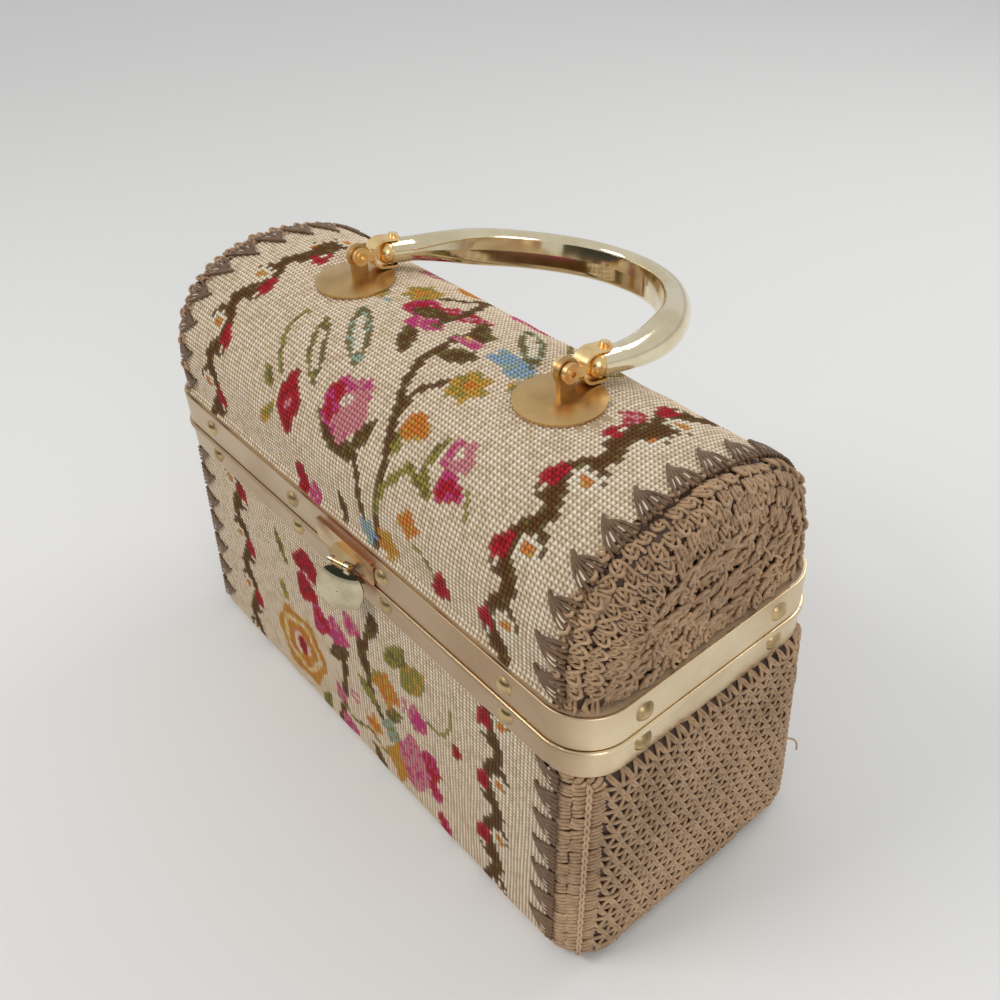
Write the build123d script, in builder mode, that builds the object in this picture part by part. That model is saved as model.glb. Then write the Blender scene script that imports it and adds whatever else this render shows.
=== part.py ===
from build123d import *
from math import atan2, cos, degrees, radians, sin, sqrt
import os

os.makedirs("parts", exist_ok=True)

# Tapestry box bag. Millimetres, +X to the right, -Y to the front, +Z up.
# The origin is the middle of the bottom face.

# Bands at the seam
band_length = 270.0
band_depth = 115.0
band_corner = 18.0
band_wall = 1.2
band_edge_round = 0.4
seam_height = 113.5
seam_gap = 0.3
upper_band_height = 14.7
lower_band_height = 12.6
bead_height = 2.6
bead_proud = 1.0
bead_round = 0.9

# Lower box
foot_length = 279.0
foot_depth = 125.0
neck_length = 276.0
neck_depth = 112.8
bottom_round = 7.0
bottom_cloth = 1.5
floor_board = 3.0
base_crochet = 4.2
base_corner = 18.0
base_join = 120.0
crochet_lift = 0.4

# Domed lid
lid_length = 263.6
lid_depth = 109.0
crest_height = 184.8
lid_straight = 14.0
shoulder_radius = 40.0
lid_corner = 16.0
lid_end_round = 7.0
lid_crochet = 4.2
lid_join = 118.0

# Covers and walls
tapestry = 1.8
shell_wall = 2.5
lining = 0.8
lining_drop = 1.0

# Rivets through both bands
rivet_head = 3.8
rivet_head_height = 1.9
rivet_shank = 1.5
rivet_tail = 2.3
rivet_tail_height = 0.7
lower_rivet_drop = 6.6
front_rivets = (-98.3, -30.7, 30.7, 98.3)
end_rivets = (-32.0, 32.0)

# Back hinges
hinge_spread = 75.0
hinge_width = 44.0
hinge_middle = 14.0
hinge_leaf = 1.0
hinge_margin = 1.0
knuckle_radius = 2.2
hinge_pin = 1.0
hinge_play = 0.08
knuckle_gap = 0.3
hinge_rivet_spread = 16.0

# Handle base plates
handle_half = 60.5
plate_y = 1.5
plate_radius = 16.0
plate_wall = 0.9
plate_rise = 1.2
plate_sink = 0.4
pivot_y = 4.2
pivot_height = 193.3
lug_width = 2.0
lug_radius = 4.7
lug_foot = 3.4
plate_stud = 2.0
washer_radius = 5.5
washer_wall = 0.8
nut_radius = 4.0
nut_height = 2.4
stud_tip = 0.6

# Handle
handle_tilt = -11.5
handle_reach = 98.2
bow_radius = 46.0
tube_start = 14.0
tube_leg = 8.0
leg_size = 10.0
bow_height = 15.6
bow_width = 11.4
leg_ridge = 0.05
bow_ridge = 0.5
leg_inner_round = 4.6
bow_inner_round = 2.8
tube_wall = 1.0
bow_full = 60.0
bow_stations = 24

# Forked fittings between the plates and the handle
clevis_width = 6.4
clevis_wall = 1.0
clevis_eye = 3.6
clevis_neck = 1.8
clevis_play = 0.05
yoke_centre = 11.2
yoke_end = 19.0
yoke_round = 2.8
slot_clear = 0.3
side_play = 0.3
pivot_pin = 1.5
pin_play = 0.08
pin_head = 2.3
pin_head_height = 0.6
pin_bore = 1.0
pin_bore_depth = 1.6
cross_pin_place = 16.5
cross_pin = 1.3
cross_head = 1.9
cross_head_height = 1.2
plug_reach = 7.0
plug_head = 4.7
plug_head_length = 4.5
plug_dome = 3.6

# Hasp at the front
hasp_x = 9.9
hasp_turn = 14.0
hasp_plate_x = 7.5
hasp_plate_width = 39.0
hasp_plate_height = 10.4
hasp_plate_wall = 1.0
hasp_plate_corner = 2.5
hasp_plate_lift = 0.3
strap_width = 13.8
strap_wall = 1.1
strap_drop = 2.0
strap_root = 9.0
hasp_pin_out = 4.7
hasp_pin_rise = 3.3
hasp_knuckle = 1.6
hasp_knuckle_width = 5.0
hasp_pin = 0.8
hasp_pin_tip = 0.6
ear_width = 2.2
ear_gap = 0.3
ear_clear = 0.4

# Clasp disc, catch stud and spring
disc_radius = 10.0
disc_wall = 0.8
disc_rise = 2.0
disc_tilt = 9.4
disc_twist = 14.0
disc_drop = 10.8
disc_tab = 2.2
disc_tab_overlap = 2.0
stud_x = 8.1
stud_height = 105.6
stud_radius = 3.0
stud_neck = 1.7
stud_out = 2.7
stud_head_wall = 1.2
stud_round = 0.4
spring_wall = 0.5
spring_height = 4.6
spring_gap = 4.4
spring_clear = 0.9
spring_shift = 1.6
spring_rivet = 1.2
spring_rivet_head = 1.8

# Worked out from the sizes above
body_top = seam_height - lower_band_height
lid_foot = seam_height + upper_band_height
lower_rim = seam_height - seam_gap / 2
upper_rim = seam_height + seam_gap / 2
band_front = band_depth / 2
band_end = band_length / 2
rim_length = band_length - 2 * band_wall
rim_depth = band_depth - 2 * band_wall
rim_corner = band_corner - band_wall
lower_rivet_z = seam_height - lower_rivet_drop
upper_rivet_z = (lid_foot + seam_height) / 2
hinge_y = band_front + knuckle_radius + side_play / 2
shoulder_y = lid_depth / 2 - shoulder_radius
shoulder_z = lid_foot + lid_straight
crown_rise = crest_height - shoulder_z
crown = (shoulder_y**2 + crown_rise**2 - shoulder_radius**2) / (2 * (crown_rise - shoulder_radius))


# Helpers: the lower box, the domed lid and their flat bands

def base_length_at(z):
    return foot_length + (neck_length - foot_length) * z / body_top


def base_depth_at(z):
    return foot_depth + (neck_depth - foot_depth) * z / body_top


def base_block(end_inset, side_inset, floor, top, edge_round):
    """The tapered lower box, drawn in from its cover by the two insets, and straight above the neck."""
    corner = base_corner - side_inset
    with BuildPart() as block:
        for z in (floor, body_top):
            with BuildSketch(Plane.XY.offset(z)):
                RectangleRounded(
                    base_length_at(z) - 2 * end_inset, base_depth_at(z) - 2 * side_inset, corner
                )
        loft()
        if edge_round > 0:
            fillet(block.edges().group_by(Axis.Z)[0], edge_round)
        if top > body_top:
            with BuildSketch(Plane.XY.offset(body_top)):
                RectangleRounded(neck_length - 2 * end_inset, neck_depth - 2 * side_inset, corner)
            extrude(amount=top - body_top)
    return block.part


def arch_outline(inset, foot):
    """The lid's section: straight sides, two shoulder arcs and one crown arc, all tangent."""
    half = lid_depth / 2
    turn = degrees(atan2(shoulder_z - crest_height + crown, shoulder_y))
    Line((half - inset, foot), (half - inset, shoulder_z))
    CenterArc((shoulder_y, shoulder_z), shoulder_radius - inset, 0, turn)
    CenterArc((0, crest_height - crown), crown - inset, turn, 180 - 2 * turn)
    CenterArc((-shoulder_y, shoulder_z), shoulder_radius - inset, 180 - turn, turn)
    Line((-half + inset, shoulder_z), (-half + inset, foot))
    Line((-half + inset, foot), (half - inset, foot))


def lid_block(end_inset, side_inset, foot, edge_round):
    """The domed lid as a closed block, drawn in from its cover by the two insets."""
    half_length = lid_length / 2 - end_inset
    with BuildPart() as block:
        with BuildSketch(Plane.YZ.offset(-half_length)):
            with BuildLine():
                arch_outline(side_inset, foot)
            make_face()
        extrude(amount=2 * half_length)
        if edge_round > 0:
            end_edges = block.edges().group_by(Axis.X)
            arches = (end_edges[0] + end_edges[-1]).filter_by_position(Axis.Z, foot + 1, crest_height)
            fillet(arches, edge_round)
        with BuildSketch(Plane.XY.offset(foot)):
            RectangleRounded(2 * half_length, lid_depth - 2 * side_inset, lid_corner - side_inset)
        extrude(amount=crest_height - foot, mode=Mode.INTERSECT)
    return block.part


def slab(x_low, x_high):
    """A tall block between two planes across the length, to cut the covers at their joins."""
    with BuildPart() as block:
        with BuildSketch(Plane.YZ.offset(x_low)):
            Rectangle(2 * band_depth, 2 * crest_height, align=(Align.CENTER, Align.MIN))
        extrude(amount=x_high - x_low)
    return block.part


def rivet(reach):
    """A dome-head rivet that stands on a plane, with its shank and set tail behind the plane."""
    ball = (rivet_head**2 + rivet_head_height**2) / (2 * rivet_head_height)
    with BuildPart() as one:
        with BuildSketch(Plane.XZ):
            with BuildLine():
                Line((0, 0), (rivet_head, 0))
                RadiusArc((rivet_head, 0), (0, rivet_head_height), -ball)
                Line((0, rivet_head_height), (0, 0))
            make_face()
        revolve(axis=Axis.Z)
        with BuildSketch(Plane.XY):
            Circle(rivet_shank)
        extrude(amount=-reach)
        with BuildSketch(Plane.XY.offset(-reach)):
            Circle(rivet_tail)
        extrude(amount=-rivet_tail_height)
    return one.part


def front_seats(z):
    return [Plane((x, -band_front, z), x_dir=(1, 0, 0), z_dir=(0, -1, 0)) for x in front_rivets]


def back_seats(z):
    places = [
        side * hinge_spread + step
        for side in (-1, 1)
        for step in (-hinge_rivet_spread, hinge_rivet_spread)
    ]
    seat_y = band_front + hinge_leaf
    return [Plane((x, seat_y, z), x_dir=(-1, 0, 0), z_dir=(0, 1, 0)) for x in places]


def end_seats(z):
    return [
        Plane((side * band_end, y, z), x_dir=(0, side, 0), z_dir=(side, 0, 0))
        for side in (-1, 1)
        for y in end_rivets
    ]


def rivet_holes(z):
    """Round cutters for every shank at one height, long enough for band, rim and lining."""
    reach = band_end - lid_length / 2 + lid_crochet + shell_wall + lining + 2
    with BuildPart() as cutters:
        for seat in front_seats(z) + back_seats(z) + end_seats(z):
            with BuildSketch(seat):
                Circle(rivet_shank)
            extrude(amount=-reach)
    return cutters.part


def rivet_set(z, side_reach, end_reach):
    with BuildPart() as group:
        with Locations(*[Location(seat) for seat in front_seats(z)]):
            add(rivet(side_reach))
        with Locations(*[Location(seat) for seat in back_seats(z)]):
            add(rivet(side_reach + hinge_leaf))
        with Locations(*[Location(seat) for seat in end_seats(z)]):
            add(rivet(end_reach))
    return group.part


# Solids that several pieces are cut from
base_cover = base_block(0, 0, 0, body_top, bottom_round)
base_core = base_block(base_crochet, tapestry, bottom_cloth, body_top, bottom_round - tapestry)
base_room = base_block(
    base_crochet + shell_wall, tapestry + shell_wall, bottom_cloth + floor_board, seam_height, 0
)
base_space = base_block(
    base_crochet + shell_wall + lining,
    tapestry + shell_wall + lining,
    bottom_cloth + floor_board + lining,
    seam_height,
    0,
)
lid_cover = lid_block(0, 0, lid_foot, lid_end_round)
lid_core = lid_block(lid_crochet, tapestry, lid_foot, lid_end_round - tapestry)
lid_room = lid_block(lid_crochet + shell_wall, tapestry + shell_wall, upper_rim, 0)
lid_space = lid_block(
    lid_crochet + shell_wall + lining, tapestry + shell_wall + lining, upper_rim, 0
)
lower_holes = rivet_holes(lower_rivet_z)
upper_holes = rivet_holes(upper_rivet_z)

# Stiff shell of the lower box, with the rim that the band is riveted to
with BuildPart() as base_shell:
    add(base_core)
    with BuildSketch(Plane.XY.offset(body_top)):
        RectangleRounded(rim_length, rim_depth, rim_corner)
    extrude(amount=lower_rim - body_top)
    add(base_room, mode=Mode.SUBTRACT)
    add(lower_holes, mode=Mode.SUBTRACT)
base_shell.part.label = "base_shell"
export_step(base_shell.part, "parts/base_shell.step")

# Lining of the lower box
with BuildPart() as base_lining:
    add(base_room)
    with BuildSketch(Plane.XY.offset(lower_rim - lining_drop)):
        Rectangle(foot_length, foot_depth)
    extrude(amount=lining_drop + seam_gap, mode=Mode.SUBTRACT)
    add(base_space, mode=Mode.SUBTRACT)
    add(lower_holes, mode=Mode.SUBTRACT)
base_lining.part.label = "base_lining"
export_step(base_lining.part, "parts/base_lining.step")

# Tapestry on the front and the back of the lower box, turned under at the bottom
for name, side in (("base_front_tapestry", -1), ("base_back_tapestry", 1)):
    with BuildPart() as cover:
        add(base_cover)
        add(base_core, mode=Mode.SUBTRACT)
        add(slab(-base_join, base_join), mode=Mode.INTERSECT)
        with BuildSketch(Plane.XY):
            Rectangle(foot_length, foot_depth - 2 * bottom_round)
        extrude(amount=bottom_cloth, mode=Mode.SUBTRACT)
        split(bisect_by=Plane.XZ, keep=Keep.TOP if side < 0 else Keep.BOTTOM)
    cover.part.label = name
    export_step(cover.part, f"parts/{name}.step")

# Plain cloth under the box
with BuildPart() as base_bottom_cloth:
    with BuildSketch(Plane.XY):
        RectangleRounded(2 * base_join, foot_depth - 2 * bottom_round, bottom_cloth)
    extrude(amount=bottom_cloth)
base_bottom_cloth.part.label = "base_bottom_cloth"
export_step(base_bottom_cloth.part, "parts/base_bottom_cloth.step")

# Crocheted ends of the lower box, wrapped round the corners
for name, side in (("base_crochet_left", -1), ("base_crochet_right", 1)):
    far = side * foot_length
    near = side * base_join
    with BuildPart() as pad:
        add(base_cover)
        add(base_core, mode=Mode.SUBTRACT)
        add(slab(min(near, far), max(near, far)), mode=Mode.INTERSECT)
        with BuildSketch(Plane.XY):
            Rectangle(2 * foot_length, 2 * foot_depth)
        extrude(amount=crochet_lift, mode=Mode.SUBTRACT)
    pad.part.label = name
    export_step(pad.part, f"parts/{name}.step")

# Lower band: a strip with a rounded bead along the seam, notched behind the hinges
with BuildPart() as base_band:
    with BuildSketch(Plane.XY.offset(lower_rim - bead_height)):
        RectangleRounded(
            band_length + 2 * bead_proud, band_depth + 2 * bead_proud, band_corner + bead_proud
        )
    extrude(amount=bead_height)
    fillet(base_band.edges().filter_by(Plane.XY), bead_round)
    with BuildSketch(Plane.XY.offset(body_top)):
        RectangleRounded(band_length, band_depth, band_corner)
    extrude(amount=lower_rim - body_top)
    with BuildSketch(Plane.XY.offset(body_top)):
        RectangleRounded(rim_length, rim_depth, rim_corner)
    extrude(amount=lower_rim - body_top, mode=Mode.SUBTRACT)
    with BuildSketch(Plane.XZ.offset(-band_front)):
        with Locations((-hinge_spread, seam_height), (hinge_spread, seam_height)):
            Rectangle(hinge_width + 2 * side_play, 2 * bead_height + 2 * side_play)
    extrude(amount=-bead_proud, mode=Mode.SUBTRACT)
    add(lower_holes, mode=Mode.SUBTRACT)
base_band.part.label = "base_band"
export_step(base_band.part, "parts/base_band.step")

# Rivets of the lower band
base_rivets = rivet_set(
    lower_rivet_z,
    band_front - neck_depth / 2 + tapestry + shell_wall + lining,
    band_end - neck_length / 2 + base_crochet + shell_wall + lining,
)
base_rivets.label = "base_rivets"
export_step(base_rivets, "parts/base_rivets.step")

# Catch stud on the lower band, a small mushroom that the spring closes round
stud_seat = Plane((stud_x, -band_front, stud_height), x_dir=(1, 0, 0), z_dir=(0, -1, 0))
with BuildPart() as clasp_stud:
    with BuildSketch(stud_seat):
        Circle(stud_neck)
    extrude(amount=stud_out)
    with BuildSketch(stud_seat.offset(stud_out - stud_head_wall)):
        Circle(stud_radius)
    extrude(amount=stud_head_wall)
    rims = clasp_stud.edges().filter_by(GeomType.CIRCLE).group_by(Axis.Y)
    fillet(rims[0], stud_round)
clasp_stud.part.label = "clasp_stud"
export_step(clasp_stud.part, "parts/clasp_stud.step")

# Stiff shell of the lid
with BuildPart() as lid_shell:
    add(lid_core)
    with BuildSketch(Plane.XY.offset(upper_rim)):
        RectangleRounded(rim_length, rim_depth, rim_corner)
    extrude(amount=lid_foot - upper_rim)
    add(lid_room, mode=Mode.SUBTRACT)
    add(upper_holes, mode=Mode.SUBTRACT)
    with BuildSketch(Plane.XY.offset(crest_height)):
        with Locations((-handle_half, plate_y), (handle_half, plate_y)):
            Circle(plate_stud)
    extrude(amount=-2 * (tapestry + shell_wall), mode=Mode.SUBTRACT)
lid_shell.part.label = "lid_shell"
export_step(lid_shell.part, "parts/lid_shell.step")

# Lining of the lid
with BuildPart() as lid_lining:
    add(lid_room)
    with BuildSketch(Plane.XY.offset(upper_rim)):
        Rectangle(lid_length, lid_depth)
    extrude(amount=lining_drop, mode=Mode.SUBTRACT)
    add(lid_space, mode=Mode.SUBTRACT)
    add(upper_holes, mode=Mode.SUBTRACT)
    with BuildSketch(Plane.XY.offset(crest_height)):
        with Locations((-handle_half, plate_y), (handle_half, plate_y)):
            Circle(plate_stud)
    extrude(amount=-2 * (tapestry + shell_wall + lining), mode=Mode.SUBTRACT)
lid_lining.part.label = "lid_lining"
export_step(lid_lining.part, "parts/lid_lining.step")

# Handle base plates: a shallow domed disc, its lug and the stud that goes through the lid
plate_ball = (plate_radius**2 + plate_rise**2) / (2 * plate_rise)
plate_under = crest_height - plate_sink
plate_top = plate_under + plate_wall
crown_inside = crown - tapestry - shell_wall - lining
lid_inside = crest_height - crown + sqrt(crown_inside**2 - (plate_y + washer_radius) ** 2)
stud_end = lid_inside - washer_wall - nut_height - stud_tip


def plate_outline(lift):
    """Half of the plate's section, from the axis to the rim."""
    low = plate_under - plate_rise
    RadiusArc((0, plate_under), (plate_radius, low), plate_ball)
    Line((plate_radius, low), (plate_radius, low + lift))
    RadiusArc((plate_radius, low + lift), (0, plate_under + lift), -plate_ball)
    Line((0, plate_under + lift), (0, plate_under))


for name, side in (("handle_plate_left", -1), ("handle_plate_right", 1)):
    plate_axis = Axis((side * handle_half, plate_y, 0), (0, 0, 1))
    side_plane = Plane((side * handle_half, 0, 0), x_dir=(0, 1, 0), z_dir=(1, 0, 0))
    with BuildPart() as plate:
        with BuildSketch(Plane((side * handle_half, plate_y, 0), x_dir=(1, 0, 0), z_dir=(0, -1, 0))):
            with BuildLine():
                plate_outline(plate_wall)
            make_face()
        revolve(axis=plate_axis)
        with BuildSketch(Plane((side * handle_half, plate_y, stud_end))):
            Circle(plate_stud)
        extrude(amount=plate_under - stud_end + plate_wall / 2)
        with BuildSketch(side_plane.offset(-lug_width / 2)):
            lug_low = plate_top - plate_wall / 2
            with Locations((pivot_y, (lug_low + pivot_height) / 2)):
                Rectangle(2 * lug_foot, pivot_height - lug_low)
            with Locations((pivot_y, pivot_height)):
                Circle(lug_radius)
                Circle(pivot_pin + pin_play, mode=Mode.SUBTRACT)
        extrude(amount=lug_width)
    plate.part.label = name
    export_step(plate.part, f"parts/{name}.step")

# Tapestry over the lid, pressed in under the two plates
with BuildPart() as lid_tapestry:
    add(lid_cover)
    add(lid_core, mode=Mode.SUBTRACT)
    add(slab(-lid_join, lid_join), mode=Mode.INTERSECT)
    for side in (-1, 1):
        with BuildSketch(Plane((side * handle_half, plate_y, 0), x_dir=(1, 0, 0), z_dir=(0, -1, 0))):
            with BuildLine():
                plate_outline(plate_wall + plate_rise)
            make_face()
        revolve(axis=Axis((side * handle_half, plate_y, 0), (0, 0, 1)), mode=Mode.SUBTRACT)
    with BuildSketch(Plane.XY.offset(crest_height)):
        with Locations((-handle_half, plate_y), (handle_half, plate_y)):
            Circle(plate_stud)
    extrude(amount=-2 * tapestry, mode=Mode.SUBTRACT)
lid_tapestry.part.label = "lid_tapestry"
export_step(lid_tapestry.part, "parts/lid_tapestry.step")

# Crocheted ends of the lid
for name, side in (("lid_crochet_left", -1), ("lid_crochet_right", 1)):
    far = side * lid_length
    near = side * lid_join
    with BuildPart() as pad:
        add(lid_cover)
        add(lid_core, mode=Mode.SUBTRACT)
        add(slab(min(near, far), max(near, far)), mode=Mode.INTERSECT)
    pad.part.label = name
    export_step(pad.part, f"parts/{name}.step")

# Upper band
with BuildPart() as lid_band:
    with BuildSketch(Plane.XY.offset(upper_rim)):
        RectangleRounded(band_length, band_depth, band_corner)
    extrude(amount=lid_foot - upper_rim)
    fillet(lid_band.edges().filter_by(Plane.XY), band_edge_round)
    with BuildSketch(Plane.XY.offset(upper_rim)):
        RectangleRounded(rim_length, rim_depth, rim_corner)
    extrude(amount=lid_foot - upper_rim, mode=Mode.SUBTRACT)
    add(upper_holes, mode=Mode.SUBTRACT)
lid_band.part.label = "lid_band"
export_step(lid_band.part, "parts/lid_band.step")

# Rivets of the upper band
lid_rivets = rivet_set(
    upper_rivet_z,
    band_front - lid_depth / 2 + tapestry + shell_wall + lining,
    band_end - lid_length / 2 + lid_crochet + shell_wall + lining,
)
lid_rivets.label = "lid_rivets"
export_step(lid_rivets, "parts/lid_rivets.step")

# Washers and nuts that hold the handle plates, inside the lid
with BuildPart() as plate_washers:
    with BuildSketch(Plane.XY.offset(lid_inside)):
        with Locations((-handle_half, plate_y), (handle_half, plate_y)):
            Circle(washer_radius)
            Circle(plate_stud, mode=Mode.SUBTRACT)
    extrude(amount=-washer_wall)
plate_washers.part.label = "plate_washers"
export_step(plate_washers.part, "parts/plate_washers.step")

with BuildPart() as plate_nuts:
    with BuildSketch(Plane.XY.offset(lid_inside - washer_wall)):
        with Locations((-handle_half, plate_y), (handle_half, plate_y)):
            RegularPolygon(nut_radius, 6)
            Circle(plate_stud, mode=Mode.SUBTRACT)
    extrude(amount=-nut_height)
plate_nuts.part.label = "plate_nuts"
export_step(plate_nuts.part, "parts/plate_nuts.step")

# Back hinges: two leaves with rolled knuckles and a pin on each side
for place, side in (("left", -1), ("right", 1)):
    middle = side * hinge_spread
    hinge_axis = Plane((middle, hinge_y, seam_height), x_dir=(0, 1, 0), z_dir=(1, 0, 0))
    knuckle_half = hinge_middle / 2
    outer = hinge_width / 2
    outer_spans = ((-outer, -knuckle_half), (knuckle_half, outer))
    middle_span = ((-knuckle_half + knuckle_gap, knuckle_half - knuckle_gap),)
    leaves = (
        ("hinge_lower_leaf", outer_spans, middle_span, body_top + hinge_margin, seam_height, 0),
        ("hinge_upper_leaf", middle_span, outer_spans, seam_height, lid_foot - hinge_margin, hinge_play),
    )
    for leaf_name, own, other, low, high, play in leaves:
        with BuildPart() as leaf:
            with BuildSketch(Plane.XZ.offset(-band_front)):
                with Locations((middle, (low + high) / 2)):
                    Rectangle(hinge_width, high - low)
            extrude(amount=-hinge_leaf)
            for start, end in other:
                with BuildSketch(hinge_axis.offset(start - knuckle_gap)):
                    Circle(knuckle_radius + knuckle_gap)
                extrude(amount=end - start + 2 * knuckle_gap, mode=Mode.SUBTRACT)
            for start, end in own:
                with BuildSketch(hinge_axis.offset(start)):
                    Circle(knuckle_radius)
                extrude(amount=end - start)
            with BuildSketch(hinge_axis.offset(-outer)):
                Circle(hinge_pin + play)
            extrude(amount=hinge_width, mode=Mode.SUBTRACT)
            add(lower_holes, mode=Mode.SUBTRACT)
            add(upper_holes, mode=Mode.SUBTRACT)
        leaf.part.label = f"{leaf_name}_{place}"
        export_step(leaf.part, f"parts/{leaf_name}_{place}.step")
    with BuildPart() as pin:
        with BuildSketch(hinge_axis.offset(-outer)):
            Circle(hinge_pin)
        extrude(amount=hinge_width)
    pin.part.label = f"hinge_pin_{place}"
    export_step(pin.part, f"parts/hinge_pin_{place}.step")

# Frames for the handle and its ends; sketches there run along the pins and away from the pivot
tilt_y = cos(radians(handle_tilt))
tilt_z = sin(radians(handle_tilt))
handle_plane = Plane((0, pivot_y, pivot_height), x_dir=(1, 0, 0), z_dir=(0, -tilt_z, tilt_y))

# Handle tube: straight ends and a three-arc bow, round at the ends and flat inside round the bow
bow_start = tube_start + tube_leg
bow_centre = handle_reach - bow_radius
bow_lift = bow_centre - bow_start
side_radius = (bow_lift**2 + handle_half**2 - bow_radius**2) / (2 * (handle_half - bow_radius))
side_turn = degrees(atan2(bow_lift, side_radius - handle_half))
with BuildLine(handle_plane) as handle_path:
    CenterArc((handle_half - side_radius, bow_start), side_radius, 0, side_turn)
    CenterArc((0, bow_centre), bow_radius, side_turn, 180 - 2 * side_turn)
    CenterArc((side_radius - handle_half, bow_start), side_radius, 180 - side_turn, side_turn)
handle_wire = handle_path.wire()


def tube_outline(share, inset):
    """Closed tube section, round outside and ridged inside; share runs from leg (0) to bow (1)."""
    height = leg_size + (bow_height - leg_size) * share - 2 * inset
    width = leg_size + (bow_width - leg_size) * share - 2 * inset
    edge = leg_inner_round + (bow_inner_round - leg_inner_round) * share - inset
    half = height / 2
    near = -width / 2
    ridge = near - leg_ridge - (bow_ridge - leg_ridge) * share
    far = width / 2 - half
    ThreePointArc((far, -half), (width / 2, 0), (far, half))
    Line((far, half), (near + edge, half))
    RadiusArc((near + edge, half), (near, half - edge), -edge)
    Line((near, half - edge), (ridge, 0))
    Line((ridge, 0), (near, edge - half))
    RadiusArc((near, edge - half), (near + edge, -half), -edge)
    Line((near + edge, -half), (far, -half))


def station(place):
    """Section plane on the path, its x away from the middle of the bow and its y up from the handle."""
    here = handle_wire.position_at(place)
    along = handle_wire.tangent_at(place)
    up = Vector(0, -tilt_z, tilt_y)
    return Plane(here, x_dir=up.cross(along) * -1, z_dir=along)


def share_at(place):
    """How far the section has changed from the round leg to the flat-sided bow."""
    here = handle_plane.to_local_coords(handle_wire.position_at(place))
    rise = min(max((here.Y - bow_start) / (bow_full - bow_start), 0), 1)
    return rise * rise * (3 - 2 * rise)


def tube_block(inset):
    """The whole bent tube as a closed block, drawn in from its outside by the inset."""
    with BuildPart() as block:
        for i in range(bow_stations + 1):
            with BuildSketch(station(i / bow_stations)):
                with BuildLine():
                    tube_outline(share_at(i / bow_stations), inset)
                make_face()
        loft()
        for place in (0, 1):
            with BuildSketch(station(place)):
                with BuildLine():
                    tube_outline(0, inset)
                make_face()
            extrude(amount=tube_leg if place else -tube_leg)
    return block.part


tube_hollow = tube_block(tube_wall)
with BuildPart() as handle_tube:
    add(tube_block(0))
    add(tube_hollow, mode=Mode.SUBTRACT)
    for side in (-1, 1):
        with BuildSketch(handle_plane.offset(-leg_size)):
            with Locations((side * handle_half, cross_pin_place)):
                Circle(cross_pin)
        extrude(amount=2 * leg_size, mode=Mode.SUBTRACT)
handle_tube.part.label = "handle_tube"
export_step(handle_tube.part, "parts/handle_tube.step")

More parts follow.
